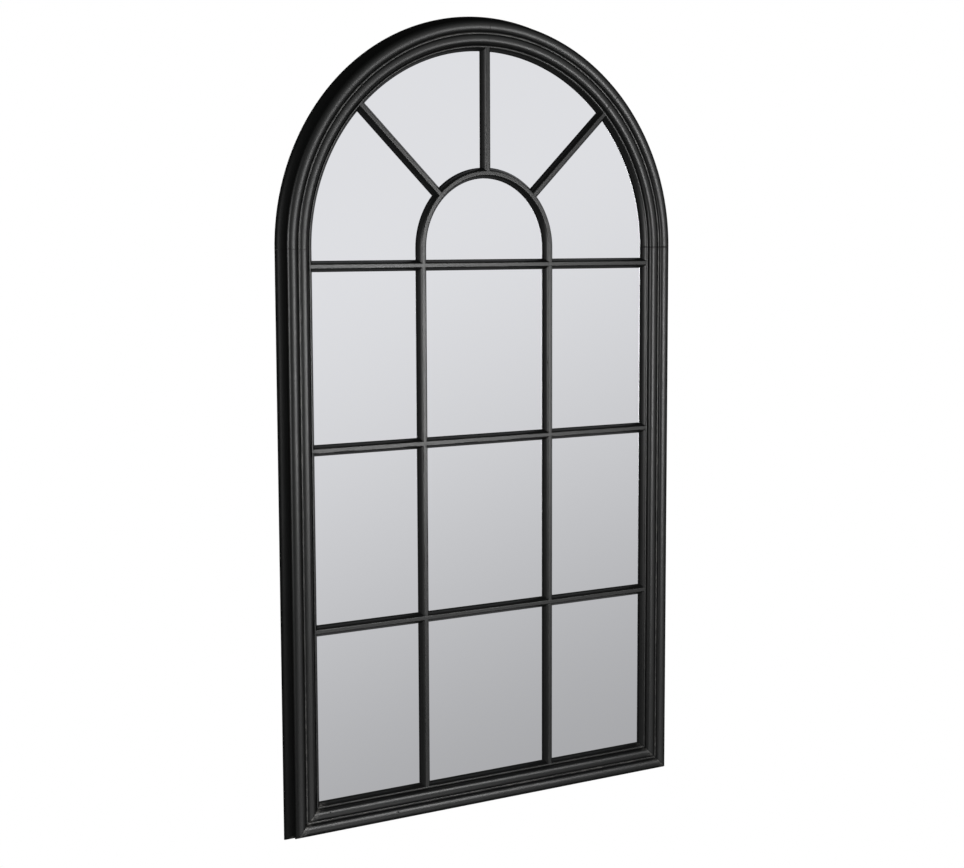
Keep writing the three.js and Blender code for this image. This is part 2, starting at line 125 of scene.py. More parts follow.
class MouldingSizes(bpy.types.PropertyGroup):
    """Sizes of the frame's moulding and of the glazing bars."""

    bar_width: length_prop("Bar width", "Width of a glazing bar at the glass", 18.8)
    bar_flat: length_prop("Bar flat", "Width of a bar's flat front", 6.4)
    bar_height: length_prop("Bar height", "How far a bar stands in front of the glass", 10.6)
    bar_edge: length_prop("Bar edge", "Square edge at the foot of a bar's slope", 1.6)
    small_bead: length_prop("Small bead", "Width of the bead on the inner slope's top", 2.6)
    quirk: length_prop("Quirk", "Width of the narrow groove beside each bead", 1.2)
    quirk_depth: length_prop("Quirk depth", "Inner groove, below the bars' front", 1.7)
    quirk_sink: length_prop("Quirk sink", "How far each groove's floor is cut deeper", 0.9)
    inner_bead: length_prop("Inner bead", "Width of the broad inner bead", 17.0)
    inner_rise: length_prop("Inner bead rise", "Its crown above the bars' front", 5.6)
    outer_quirk_rise: length_prop("Outer groove rise", "Outer grooves above the bars", 4.2)
    fillet: length_prop("Fillet", "Width of the flat fillet between the beads", 2.8)
    fillet_rise: length_prop("Fillet rise", "Height of the fillet above its grooves", 1.2)
    outer_bead: length_prop("Outer bead", "Width of the outer bead", 20.0)
    outer_rise: length_prop("Outer bead rise", "Its crown above its own groove", 5.4)
    bead_return: length_prop("Bead return", "How far the outer bead turns back under", 2.6)
    flare: length_prop("Flare", "How far the hollow side spreads towards the wall", 8.8)
    back_edge: length_prop("Back edge", "Square edge against the wall", 3.2)
    plate_rebate: length_prop("Plate rebate", "Rebate for the mirror plate", 7.8)
    board_rebate: length_prop("Board rebate", "Rebate for the back board", 21.8)
    board_ledge: length_prop("Board ledge", "Depth of the ledge behind the bars' backs", 3.3)
    arris: length_prop("Softened edge", "Width of the softened edge on every corner", 0.35)
    waviness: length_prop("Waviness", "Slow waves that sanding leaves in the wood", 0.16)
    glass_clearance: length_prop("Glass clearance", "Paint film between wood and glass", 0.05)


class FittingSizes(bpy.types.PropertyGroup):
    """Sizes of the board, hangers, screws and bumpers."""

    wire_radius: length_prop("Ring wire", "Radius of the ring's wire", 1.5)
    ring_half_width: length_prop("Ring half width", "Half width to the wire's middle", 13.0)
    ring_corner: length_prop("Ring corner", "Corner radius of the ring", 3.0)
    ring_side: length_prop("Ring side", "Hinge line down to the round bow", 6.0)
    strap_width: length_prop("Strap width", "Width of the hanger's strap", 16.0)
    strap_length: length_prop("Strap length", "Hinge line down to the strap's end", 46.0)
    strap_thickness: length_prop("Strap thickness", "Thickness of the strap's sheet", 1.2)
    strap_corner: length_prop("Strap corner", "Radius of the strap's lower corners", 4.0)
    knuckle_radius: length_prop("Knuckle radius", "Outer radius of the rolled knuckle", 3.0)
    screw_radius: length_prop("Screw shank", "Radius of a screw's shank", 1.6)
    screw_head: length_prop("Screw head", "Radius of a screw's head", 3.4)
    screw_head_height: length_prop("Screw head height", "Height of a screw's head", 2.0)
    recess_width: length_prop("Recess width", "Width of a slot of the cross recess", 0.9)
    bumper_radius: length_prop("Bumper radius", "Radius of a wall bumper", 6.0)


class FinishColours(bpy.types.PropertyGroup):
    """Colours of the finishes."""

    paint: colour_prop("Paint", "Satin black paint", (0.0050, 0.0053, 0.0052))
    paint_worn: colour_prop("Rubbed paint", "Paint rubbed thin on edges", (0.050, 0.049, 0.046))
    # Pale scuffed paint at the mitres, partly a painted glint
    paint_scuff_glint: colour_prop("Scuffed paint", "Paint scuffed at the mitres", (0.12, 0.117, 0.11))
    silver: colour_prop("Mirror", "Silvered plate glass", (0.862, 0.870, 0.902))
    board: colour_prop("Board", "Brown hardboard", (0.235, 0.150, 0.085))
    board_fibre: colour_prop("Board fibre", "Paler fibres in the hardboard", (0.36, 0.25, 0.155))
    wood: colour_prop("Bare wood", "Unpainted beech", (0.55, 0.38, 0.20))
    wood_dark: colour_prop("Bare wood grain", "Darker grain of the beech", (0.40, 0.25, 0.12))
    zinc: colour_prop("Zinc", "Zinc-plated steel", (0.60, 0.61, 0.62))
    zinc_dull: colour_prop("Dull zinc", "Plating gone dull", (0.40, 0.405, 0.40))
    rubber: colour_prop("Rubber", "Matt black rubber", (0.030, 0.030, 0.031))


class StageSettings(bpy.types.PropertyGroup):
    """The camera, the lamps and the studio around the object."""

    camera_place: bpy.props.FloatVectorProperty(
        name="Camera place",
        description="Where the camera stands",
        default=(-1.6279, -2.6665, 0.0838),
        size=3,
        precision=4,
        subtype="TRANSLATION",
        unit="LENGTH",
    )
    camera_turn: bpy.props.FloatVectorProperty(
        name="Camera turn",
        description="Turn to the right of the wall's normal, tilt upwards, and roll",
        default=(math.radians(31.4729), math.radians(-6.2636), math.radians(-0.2040)),
        size=3,
        subtype="EULER",
        unit="ROTATION",
    )
    lens: number_prop("Lens", "Focal length on a 36 millimetre sensor", 65.497, 500.0)
    studio_high: number_prop("Studio, high", "Brightness of the studio above the horizon", 0.848)
    studio_low: number_prop("Studio, low", "Brightness of the studio low on the right", 0.425)
    studio_behind: number_prop("Studio behind", "Brightness behind the wall plane", 0.012)
    key_power: number_prop("Key lamp", "Power of the main lamp on the right, in watts", 55.0, 2000.0)
    fill_power: number_prop("Fill lamp", "Power of the narrow lamp on the left, in watts", 34.0, 2000.0)
    side_power: number_prop("Side lamp", "Power of the wide lamp on the left, in watts", 12.0, 2000.0)
    back_power: number_prop("Back lamp", "Power of the lamp behind the wall, in watts", 60.0, 2000.0)
    low_power: number_prop("Low lamp", "Power of the lamp low in front, in watts", 6.0, 2000.0)
    floor_drop: length_prop("Floor drop", "Mirror's lowest edge down to the floor", 1170.0)


class WindowMirrorSettings(bpy.types.PropertyGroup):
    """All settings of the window mirror."""

    moulding: bpy.props.PointerProperty(type=MouldingSizes)
    fittings: bpy.props.PointerProperty(type=FittingSizes)
    colours: bpy.props.PointerProperty(type=FinishColours)
    stage: bpy.props.PointerProperty(type=StageSettings)


def settings():
    """The window mirror's settings on the current scene."""
    return bpy.context.scene.window_mirror


# ---- Node trees ------------------------------------------------------------------------------


class Value:
    """A value inside a node tree, which adds and multiplies like a number."""

    def __init__(self, steps, socket):
        self.steps = steps
        self.socket = socket

    def __add__(self, other):
        return self.steps.maths("ADD", self, other)

    def __sub__(self, other):
        return self.steps.maths("SUBTRACT", self, other)

    def __rsub__(self, other):
        return self.steps.maths("SUBTRACT", other, self)

    def __mul__(self, other):
        return self.steps.maths("MULTIPLY", self, other)

    def __truediv__(self, other):
        return self.steps.maths("DIVIDE", self, other)

    def __rtruediv__(self, other):
        return self.steps.maths("DIVIDE", other, self)


class Steps:
    """Adds nodes to one tree, so that the tree reads as a list of steps."""

    def __init__(self, tree):
        self.tree = tree

    def add(self, kind, inputs=None, **choices):
        """A node of this kind. Each of its inputs takes a plain value or a Value."""
        node = self.tree.nodes.new(kind)
        for choice, value in choices.items():
            setattr(node, choice, value)
        for key, value in (inputs or {}).items():
            socket = node.inputs[key]
            if isinstance(value, Value):
                self.tree.links.new(value.socket, socket)
            elif socket.type == "RGBA":
                socket.default_value = (*value, 1.0)
            else:
                socket.default_value = value
        return node

    def value(self, kind, output, inputs=None, **choices):
        """One output of a new node."""
        return Value(self, self.add(kind, inputs, **choices).outputs[output])

    def maths(self, operation, *values):
        """Result of a Math node."""
        return self.value("ShaderNodeMath", 0, dict(enumerate(values)), operation=operation)

    def most(self, first, *others):
        """The largest of some values."""
        for other in others:
            first = self.maths("MAXIMUM", first, other)
        return first

    def vector(self, operation, output, inputs):
        """Result of a Vector Math node."""
        return self.value("ShaderNodeVectorMath", output, inputs, operation=operation)

    def stretch(self, vector, factors):
        """A vector multiplied axis by axis."""
        return self.vector("MULTIPLY", "Vector", {0: vector, 1: factors})

    def split(self, vector):
        """A vector's three parts."""
        parts = self.add("ShaderNodeSeparateXYZ", {"Vector": vector}).outputs
        return [Value(self, part) for part in parts]

    def join(self, x=0.0, y=0.0, z=0.0):
        """A vector of three parts."""
        return self.value("ShaderNodeCombineXYZ", "Vector", {"X": x, "Y": y, "Z": z})

    def ramp(self, value, low, high, to_low=0.0, to_high=1.0, kind="SMOOTHSTEP"):
        """Value mapped from low..high to to_low..to_high and held there outside."""
        limits = {"From Min": low, "From Max": high, "To Min": to_low, "To Max": to_high}
        inputs = {"Value": value, **limits}
        return self.value("ShaderNodeMapRange", "Result", inputs, interpolation_type=kind)

    def noise(self, vector, scale, detail=3.0, roughness=0.55):
        """Noise from nought to one. A scale of three numbers stretches it too."""
        if isinstance(scale, tuple):
            vector, scale = self.stretch(vector, scale), 1.0
        inputs = {"Vector": vector, "Scale": scale, "Detail": detail, "Roughness": roughness}
        return self.value("ShaderNodeTexNoise", 0, inputs)

    def blend(self, factor, first, second, kind="RGBA"):
        """Colour or number between first and second by a factor."""
        at, result = ((6, 7), 2) if kind == "RGBA" else ((2, 3), 0)
        inputs = {0: factor, at[0]: first, at[1]: second}
        return self.value("ShaderNodeMix", result, inputs, data_type=kind)

    def bump(self, height, depth, strength):
        """A bump normal from a height of nought to one that is depth metres deep."""
        inputs = {"Height": height, "Distance": depth, "Strength": strength}
        return self.value("ShaderNodeBump", "Normal", inputs)


# ---- Meshes ----------------------------------------------------------------------------------


def link_object(name, data):
    """A new object in the scene."""
    made = bpy.data.objects.new(name, data)
    bpy.context.scene.collection.objects.link(made)
    return made


def loop_mesh(name, points):
    """A closed ring of edges through some points."""
    mesh = bpy.data.meshes.new(name)
    edges = [(i, (i + 1) % len(points)) for i in range(len(points))]
    mesh.from_pydata(points, edges, [])
    return mesh


@contextmanager
def edited(mesh):
    """A mesh opened for editing and written back at the end."""
    work = bmesh.new()
    work.from_mesh(mesh)
    yield work
    work.to_mesh(mesh)
    work.free()


def geometry_tree(name, named_inputs):
    """Makes a function that adds steps to a geometry tree give that tree, built only once.

    The function gets the steps and the inputs by name, and returns the geometry, which then goes
    through Realize Instances and Set Material.
    """

    def wrap(fill):
        def build():
            tree = bpy.data.node_groups.get(name)
            if tree:
                return tree
            tree = bpy.data.node_groups.new(name, "GeometryNodeTree")
            tree.is_modifier = True
            face = tree.interface
            face.new_socket("Geometry", in_out="INPUT", socket_type="NodeSocketGeometry")
            for title, kind in (*named_inputs, ("Material", "Material")):
                face.new_socket(title, in_out="INPUT", socket_type="NodeSocket" + kind)
            face.new_socket("Geometry", in_out="OUTPUT", socket_type="NodeSocketGeometry")
            steps = Steps(tree)
            given = {s.name: Value(steps, s) for s in steps.add("NodeGroupInput").outputs}
            inputs = {"Geometry": fill(steps, given)}
            real = steps.value("GeometryNodeRealizeInstances", "Geometry", inputs)
            inputs = {"Geometry": real, "Material": given["Material"]}
            done = steps.value("GeometryNodeSetMaterial", "Geometry", inputs)
            steps.add("NodeGroupOutput", {"Geometry": done})
            return tree

        return build

    return wrap


def mesh_from_modifiers(name, mesh, prepare):
    """The plain mesh that comes out when prepare(object) has put modifiers on a mesh."""
    source = bpy.data.objects.new(name + "_source", mesh)
    prepare(source)
    bpy.context.scene.collection.objects.link(source)
    depsgraph = bpy.context.evaluated_depsgraph_get()
    result = bpy.data.meshes.new_from_object(
        source.evaluated_get(depsgraph), preserve_all_data_layers=True, depsgraph=depsgraph
    )
    source.modifiers.clear()
    bpy.data.objects.remove(source)
    result.name = name
    return result


def run_tree(name, mesh, tree, values):
    """The plain mesh that a geometry tree makes of a mesh with these named inputs."""
    sockets = {item.name: item.identifier for item in tree.interface.items_tree}

    def prepare(source):
        modifier = source.modifiers.new("nodes", "NODES")
        modifier.node_group = tree
        for title, value in values.items():
            modifier[sockets[title]] = value

    result = mesh_from_modifiers(name, mesh, prepare)
    if not result.polygons:
        raise RuntimeError(f"{name} came out of its geometry tree empty")
    return result


END_SOFTNESS = 0.4  # a member's ends are less worn than its long corners
CAP_SIDES = 8  # a face with more sides than this closes a member's end
BEVEL_SEGMENTS = 2
# Faces that meet at more degrees than this get a softened edge, or are shaded apart
SOFTENED, SOFTENED_STRAP = 38.0, 50.0
SHARP, SHARP_SCREW, SHARP_BUMPER = 42.0, 35.0, 50.0


def clean_shell(mesh, limit=SOFTENED):
    """Turns a closed shell's faces outwards and marks its sharp outer edges for the bevel."""
    with edited(mesh) as work:
        bmesh.ops.recalc_face_normals(work, faces=work.faces)
        weight = work.edges.layers.float.new("bevel_weight_edge")
        for edge in work.edges:
            if edge.is_convex and edge.calc_face_angle(0.0) > math.radians(limit):
                at_end = any(len(face.verts) > CAP_SIDES for face in edge.link_faces)
                edge[weight] = END_SOFTNESS if at_end else 1.0


def soften_edges(mesh, width):
    """The mesh with its marked edges rounded off by a narrow bevel."""

    def prepare(source):
        bevel = source.modifiers.new("soft_edges", "BEVEL")
        bevel.width = width
        bevel.segments = BEVEL_SEGMENTS
        bevel.limit_method = "WEIGHT"
        bevel.use_clamp_overlap = False

    return mesh_from_modifiers(mesh.name, mesh, prepare)


def add_piece(name, mesh, replaced, body=MIRROR_BODY, sharp=SHARP):
    """Shades a finished mesh and shows it, riding on a body, in place of CAD nodes."""
    mesh.shade_smooth()
    mesh.set_sharp_from_angle(angle=math.radians(sharp))
    for layer in ("around", "pair"):
        if mesh.attributes.get(layer):
            mesh.attributes.remove(mesh.attributes[layer])
    piece = link_object(name, mesh)
    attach(piece, body)
    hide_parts(*replaced)


def shift(x=0.0, y=0.0, z=0.0):
    """Matrix of a move."""
    return Matrix.Translation((x, y, z))


def turn(angle):
    """Matrix of a turn about Y."""
    return Matrix.Rotation(angle, 4, "Y")


# ---- Sections --------------------------------------------------------------------------------

EPSILON = 0.001 * MM
SUPPORT = 0.9 * MM  # points this far inside an edge keep the faces beside it evenly shaded
LEAST_RUN = 3 * SUPPORT  # a shorter run has none
GLASS_SHADE_REACH = 4.0 * MM  # painted shade beside the glass fades out this far up the wood
SMALL_CROWN = 0.15 * MM  # the small bead stands this far above the bars' front
SMALL_ROUND = 0.5 * MM  # its rounding towards the glass
SMALL_FALL = 0.35 * MM  # its steep side towards the groove
OUTER_TURN = (15, 50)  # degrees from which an outer corner is sharp, and over which it grows
INNER_TURN = (12, 35)  # the same for a hollow corner, counted the other way
BELLY = (0.35, 0.62)  # where a bar's slope is roundest, in shares of its run and its rise
SLOPE_STEPS, SMALL_STEPS, RISE_STEPS, FALL_STEPS = 9, 3, 14, 8
OUTER_STEPS, UNDER_STEPS, FLARE_STEPS = 26, 6, 12


def share_of(value, start, width):
    """Nought up to start, one from start + width on, even between."""
    return min(1.0, max(0.0, (value - start) / width))


def arc(centre, radii, first, last, count):
    """Points on a circle's or ellipse's arc, both ends included. Angles are in degrees."""
    angles = [math.radians(first + (last - first) * i / count) for i in range(count + 1)]
    (x, y), (wide, high) = centre, radii
    return [(x + wide * math.cos(angle), y + high * math.sin(angle)) for angle in angles]


def curve(count, *corners):
    """Points of a smooth curve from its first corner up to just before its last."""
    degree = len(corners) - 1
    points = []
    for i in range(count):
        t = i / count
        weights = [math.comb(degree, k) * (1 - t) ** (degree - k) * t**k for k in range(degree + 1)]
        points.append(tuple(sum(w * c[axis] for w, c in zip(weights, corners)) for axis in (0, 1)))
    return points


def flat_run(start, end):
    """Start of a straight run, with support points near both of its ends."""
    length = math.dist(start, end)
    shares = (SUPPORT / length, 1 - SUPPORT / length) if length > LEAST_RUN else ()
    return [start] + [tuple(a + (b - a) * t for a, b in zip(start, end)) for t in shares]


def bar_slope(sizes, foot_x, top_x):
    """The rounded slope that the bars and the frame's inner edge share."""
    rise = sizes.bar_height - sizes.bar_edge
    belly = (foot_x + (top_x - foot_x) * BELLY[0], -sizes.bar_edge - rise * BELLY[1])
    return curve(SLOPE_STEPS, (foot_x, -sizes.bar_edge), belly, (top_x, -sizes.bar_height))


def back_of_bars(sizes):
    """How far behind the bars' nominal backs the wood reaches, to close on the glass."""
    return SEAM - sizes.glass_clearance


def bar_section(sizes):
    """A bar's section and, for each point, the number it shares with its mirror image."""
    half, flat = sizes.bar_width / 2, sizes.bar_flat / 2
    back, front = back_of_bars(sizes), -sizes.bar_height
    right = [(half - SUPPORT, back), (half, back)] + bar_slope(sizes, half, flat)
    right += [(flat, front), (flat - SUPPORT, front)]
    left = [(-x, y) for x, y in reversed(right)]
    pairs = list(range(len(right)))
    return right + left, pairs + pairs[::-1]


def frame_section(sizes):
    """The frame's section, from its edge on the glass round the front to the rebated back."""
    slope = (sizes.bar_width - sizes.bar_flat) / 2
    front = -sizes.bar_height
    inner_quirk = front + sizes.quirk_depth
    inner_crown = front - sizes.inner_rise
    outer_quirk = front - sizes.outer_quirk_rise
    fillet_top = outer_quirk - sizes.fillet_rise
    half_quirk, sink = sizes.quirk / 2, sizes.quirk_sink
    small_end = slope + sizes.small_bead
    inner_start = small_end + sizes.quirk
    inner_end = inner_start + sizes.inner_bead
    fillet_start = inner_end + sizes.quirk
    fillet_end = fillet_start + sizes.fillet
    outer_start = fillet_end + sizes.quirk
    outer_end = outer_start + sizes.outer_bead
    under = (outer_end - sizes.bead_return, outer_quirk + sizes.outer_rise)
    back = FRAME_BACK_Y - BAR_BACKS_Y
    flare_y = back - 2 * sizes.back_edge
    flare_end = (under[0] + sizes.flare, flare_y)
    width, half_bead = sizes.inner_bead, sizes.outer_bead / 2
    glass_y = back_of_bars(sizes)

    points = [(0.0, glass_y)] + bar_slope(sizes, 0.0, slope)
    small_front = front - SMALL_CROWN
    small_far = (small_end - SMALL_FALL, small_front)
    small_near = (slope + SMALL_ROUND, small_front)
    points += curve(SMALL_STEPS, (slope, front), small_near, small_far)
    points += flat_run(small_far, (small_end, inner_quirk))
    points += [(small_end, inner_quirk), (small_end + half_quirk, inner_quirk + sink)]
    rising = (inner_start + width * 0.05, inner_crown + sizes.inner_rise * 0.35)
    level = (inner_start + width * 0.3, inner_crown)
    crown = (inner_start + width * 0.58, inner_crown)
    falling = (inner_end - width * 0.1, inner_crown)
    points += curve(RISE_STEPS, (inner_start, inner_quirk), rising, level, crown)
    points += curve(FALL_STEPS, crown, falling, (inner_end, outer_quirk))
    points += [(inner_end, outer_quirk), (inner_end + half_quirk, outer_quirk + sink)]
    points += [(fillet_start, outer_quirk), (fillet_start, fillet_top)]
    points += [(fillet_end, fillet_top), (fillet_end, outer_quirk)]
    points.append((fillet_end + half_quirk, outer_quirk + sink))
    bead_centre = (outer_start + half_bead, outer_quirk)
    points += arc(bead_centre, (half_bead, sizes.outer_rise), 180, 360, OUTER_STEPS)[:-1]
    points += curve(UNDER_STEPS, (outer_end, outer_quirk), (outer_end, under[1]), under)
    points += curve(FLARE_STEPS, under, (under[0], flare_y - sizes.flare), flare_end)
    points.append(flare_end)
    corners = [
        (FRAME_WIDTH, back - sizes.back_edge),
        (FRAME_WIDTH, back),
        (sizes.board_rebate, back),
        (sizes.board_rebate, sizes.board_ledge),
        (sizes.plate_rebate, sizes.board_ledge),
    ]
    for start, end in zip(corners, corners[1:]):
        points += flat_run(start, end)
    return points + [corners[-1], (sizes.plate_rebate, glass_y)], None


def section_mesh(name, section, sizes):
    """A section as a ring of edges. Its points know how far round they lie and how sharp they are.

    "around" is the distance along the outline, "arris" is one on a sharp outer corner, "hollow" is
    one in a sharp inner corner and beside the glass, where the paint is darkened as painted shade,
    and "pair" is the number that mirrored points share.
    """
    points, pairs = section
    following = points[1:] + points[:1]
    mesh = loop_mesh(name, [(x, y, 0.0) for x, y in points])
    area = sum(here[0] * after[1] - after[0] * here[1] for here, after in zip(points, following))
    sense = -1 if area > 0 else 1
    around, arris, hollow = [], [], []
    travelled = 0.0
    for i, (here, after) in enumerate(zip(points, following)):
        inward = Vector(here) - Vector(points[i - 1])
        outward = Vector(after) - Vector(here)
        corner = math.degrees(inward.angle_signed(outward)) * sense
        # Painted shade: the wood's foot beside the glass and each sharp hollow corner are marked so
        # that the paint there is darkened
        near_glass = 0.0
        if here[0] <= sizes.bar_width / 2 + EPSILON:
            near_glass = share_of(here[1] + sizes.bar_edge, -GLASS_SHADE_REACH, GLASS_SHADE_REACH)
        around.append(travelled)
        arris.append(share_of(corner, *OUTER_TURN))
        hollow.append(max(near_glass, share_of(-corner, *INNER_TURN)))
        travelled += outward.length
    for title, values in (("around", around), ("arris", arris), ("hollow", hollow)):
        layer = mesh.attributes.new(title, "FLOAT", "POINT")
        layer.data.foreach_set("value", values)
    layer = mesh.attributes.new("pair", "INT", "POINT")
    layer.data.foreach_set("value", pairs or [0] * len(points))
    return mesh


# ---- Sweeping a section ----------------------------------------------------------------------

END_SUPPORT = 1.3 * MM  # the ring next to each end stands this far in
# The second mark is for scuffs near the mitres, which also carry painted glints
END_MARKS = {"joint": (0.0, END_SUPPORT), "rub": (1.0 * MM, 15.0 * MM)}  # where each fades out
TIGHT = 0.02 * MM  # the members are drawn tight against each other, so no light passes a joint
STATION_LENGTH = 7 * MM
LEAST_STATIONS = 8
WAVE_STRETCH = (14.0, 70.0, 5.0)

SWEEP_INPUTS = [("Steps", "Int")]
for title in ("Start", "End"):
    for detail in ("", " lean", " cope", " hollow", " joint", " rub"):
        SWEEP_INPUTS.append((title + detail, "Float"))
for title in ("Bend radius", "Bend length", "Waviness", "Seed"):
    SWEEP_INPUTS.append((title, "Float"))


@geometry_tree("moulded_length", SWEEP_INPUTS)
def sweep_tree(steps, given):
    """Sweeps a section along z, shapes both ends and bends it round an arch.

    An end's place along z is its own value, plus its lean times x for a mitre, plus its cope times
    the size of x where it fits over a bar, plus its hollow times x squared where that bar is bent.
    """
    outline = steps.value("GeometryNodeMeshToCurve", "Curve", {"Mesh": given["Geometry"]})
    line = steps.value("GeometryNodeCurvePrimitiveLine", "Curve", {"End": (0.0, 0.0, 1.0)})
    inputs = {"Curve": line, "Count": given["Steps"] + 1}
    path = steps.value("GeometryNodeResampleCurve", "Curve", inputs)
    inputs = {"Curve": path, "Profile Curve": outline, "Fill Caps": True}
    marked = steps.value("GeometryNodeCurveToMesh", "Mesh", inputs)

    across, depth, share = steps.split(steps.value("GeometryNodeInputPosition", "Position"))
    width = steps.maths("ABSOLUTE", across)
    start, end = (
        across * given[f"{title} lean"]
        + given[title]
        + width * given[f"{title} cope"]
        + across * across * given[f"{title} hollow"]
        for title in ("Start", "End")
    )
    spacing = 1.0 / given["Steps"]
    inset = END_SUPPORT / (given["End"] - given["Start"])
    inner = steps.ramp(share, spacing, 1.0 - spacing, inset, 1.0 - inset, "LINEAR")
    first = steps.maths("LESS_THAN", share, spacing * 0.5)
    last = steps.maths("GREATER_THAN", share, 1.0 - spacing * 0.5)
    station = inner + (last - first) * inset
    along = station * (end - start) + start

    def store(name, value, kind="FLOAT"):
        inputs = {"Geometry": marked, "Name": name, "Value": value}
        choices = {"data_type": kind, "domain": "POINT"}
        return steps.value("GeometryNodeStoreNamedAttribute", "Geometry", inputs, **choices)

    def stored(name, kind="FLOAT"):
        inputs = {"Name": name}
        node = "GeometryNodeInputNamedAttribute"
        return steps.value(node, "Attribute", inputs, data_type=kind)

    marked = store("grain", steps.join(along, stored("around"), given["Seed"]), "FLOAT_VECTOR")
    for title, (near, far) in END_MARKS.items():
        at_start = steps.ramp(along - start, near, far, 1.0, 0.0, "LINEAR")
        at_end = steps.ramp(end - along, near, far, 1.0, 0.0, "LINEAR")
        from_start, from_end = at_start * given[f"Start {title}"], at_end * given[f"End {title}"]
        marked = store(title, steps.most(from_start, from_end))

    bent = steps.maths("MINIMUM", steps.most(along, 0.0), given["Bend length"])
    straight = along - bent
    angle = bent / given["Bend radius"]
    cosine, sine = steps.maths("COSINE", angle), steps.maths("SINE", angle)
    reach = given["Bend radius"] + across
    x = reach * cosine - given["Bend radius"] - straight * sine
    z = reach * sine + straight * cosine
    inputs = {"Geometry": marked, "Position": steps.join(x, depth, z)}
    shaped = steps.value("GeometryNodeSetPosition", "Geometry", inputs)

    waves = steps.noise(stored("grain", "FLOAT_VECTOR"), WAVE_STRETCH, 1.0) - 0.5
    normal = steps.value("GeometryNodeInputNormal", "Normal")
    push = steps.vector("SCALE", "Vector", {0: normal, "Scale": waves * given["Waviness"]})
    return steps.value("GeometryNodeSetPosition", "Geometry", {"Geometry": shaped, "Offset": push})


def rebuild_coped_ends(mesh):
    """Replaces the many-sided faces on a bar's ends by strips between mirrored points."""
    with edited(mesh) as work:
        pair = work.verts.layers.int["pair"]
        caps = [face for face in work.faces if len(face.verts) > CAP_SIDES]
        rings = [list(face.verts) for face in caps]
        bmesh.ops.delete(work, geom=caps, context="FACES_ONLY")
        for ring in rings:
            rungs = {}
            for vert in ring:
                rungs.setdefault(vert[pair], []).append(vert)
            order = sorted(rungs)
            for low, high in zip(order, order[1:]):
                first, second = rungs[low], rungs[high]
                second.sort(key=lambda vert: (vert.co - first[0].co).length)
                work.faces.new((first[0], second[0], second[1], first[1]))


def moulded_piece(name, section, place, seed, start, end, **details):
    """One swept member from start to end along z, softened, placed and shown for its CAD node.

    The place is in the arch's own frame, which has the bars' backs at y nought.
    """
    sizes = settings().moulding
    values = {
        "Steps": max(LEAST_STATIONS, round((end - start) / STATION_LENGTH)),
        "Start": start,
        "End": end,
        "Bend radius": 1.0,
        "Waviness": sizes.waviness,
        "Seed": float(seed),
        "Material": paint_material(),
    }
    for key, value in details.items():
        values[key.replace("_", " ").capitalize()] = value
    outline = section_mesh(name + "_section", section, sizes)
    mesh = run_tree(name + "_moulding", outline, sweep_tree(), values)
    if section[1]:
        rebuild_coped_ends(mesh)
    clean_shell(mesh)
    mesh = soften_edges(mesh, sizes.arris)
    mesh.transform(shift(0.0, BAR_BACKS_Y, ARCH_Z) @ place)
    add_piece(name + "_moulding", mesh, [name])


# ---- Finishes --------------------------------------------------------------------------------

# Small blemishes as (x, z, radius) on the front: three dents in the bottom rail
DENTS = ((-0.3258, -0.8898, 1.5 * MM), (-0.1951, -0.9118, 1.6 * MM), (-0.3751, -0.8887, 1.2 * MM))
# and one filled nail hole in the arch's left side
NAIL_HOLE = (-0.2487, 0.3428, 1.5 * MM)
RIM_REACH = 1.9  # the sunk rim round the filled hole, in hole radii
SPOT_EDGE = (0.7, 1.3)  # where a spot fades out, in its radii

# Grain along a member, round its section and from member to member, in cycles to the metre
BRUSH_MARKS = (60.0, 620.0, 9.0)
SPECKS = (330.0, 420.0, 5.0)
PATCHES = (9.0, 30.0, 3.0)
PIT_CELLS = (34.0, 70.0, 1.0)
# The same along x, y and z
HARDBOARD_STRANDS = (60.0, 60.0, 420.0)
BEECH_RINGS = (90.0, 260.0, 90.0)
ROLLING_LINES = (2600.0, 900.0, 140.0)

# Near black that stands for painted shade in grooves, hollow corners, pits and beside the glass, and
# for the dark joint lines
SHADE_AND_JOINT_BLACK = (0.002, 0.002, 0.002)
BOARD_STAIN = (0.12, 0.072, 0.038)
DUST = (0.075, 0.073, 0.070)
FLOOR_GREY = (0.6, 0.6, 0.6)
WHITE = (1.0, 1.0, 1.0)


def finish(name):
    """Makes a function that describes a finish give its material, built only once.

    The function gets the steps, the object's coordinates and the colours. It returns the inputs
    of a Principled shader, or a whole shader.
    """

    def wrap(describe):
        def build():
            material = bpy.data.materials.get(name)
            if material:
                return material
            material = bpy.data.materials.new(name)
            material.use_nodes = True
            material.node_tree.nodes.clear()
            steps = Steps(material.node_tree)
            place = steps.value("ShaderNodeTexCoord", "Object")
            surface = describe(steps, place, settings().colours)
            if isinstance(surface, dict):
                surface = steps.value("ShaderNodeBsdfPrincipled", "BSDF", surface)
            steps.add("ShaderNodeOutputMaterial", {"Surface": surface})
            return material

        return build

    return wrap


def spot(steps, place, x, z, radius):
    """One within radius of a line through (x, z) square to the wall, nought outside."""
    flat = steps.stretch(place, (1.0, 0.0, 1.0))
    away = steps.vector("DISTANCE", "Value", {0: flat, 1: (x, 0.0, z)})
    return steps.ramp(away, *(radius * share for share in SPOT_EDGE), 1.0, 0.0)


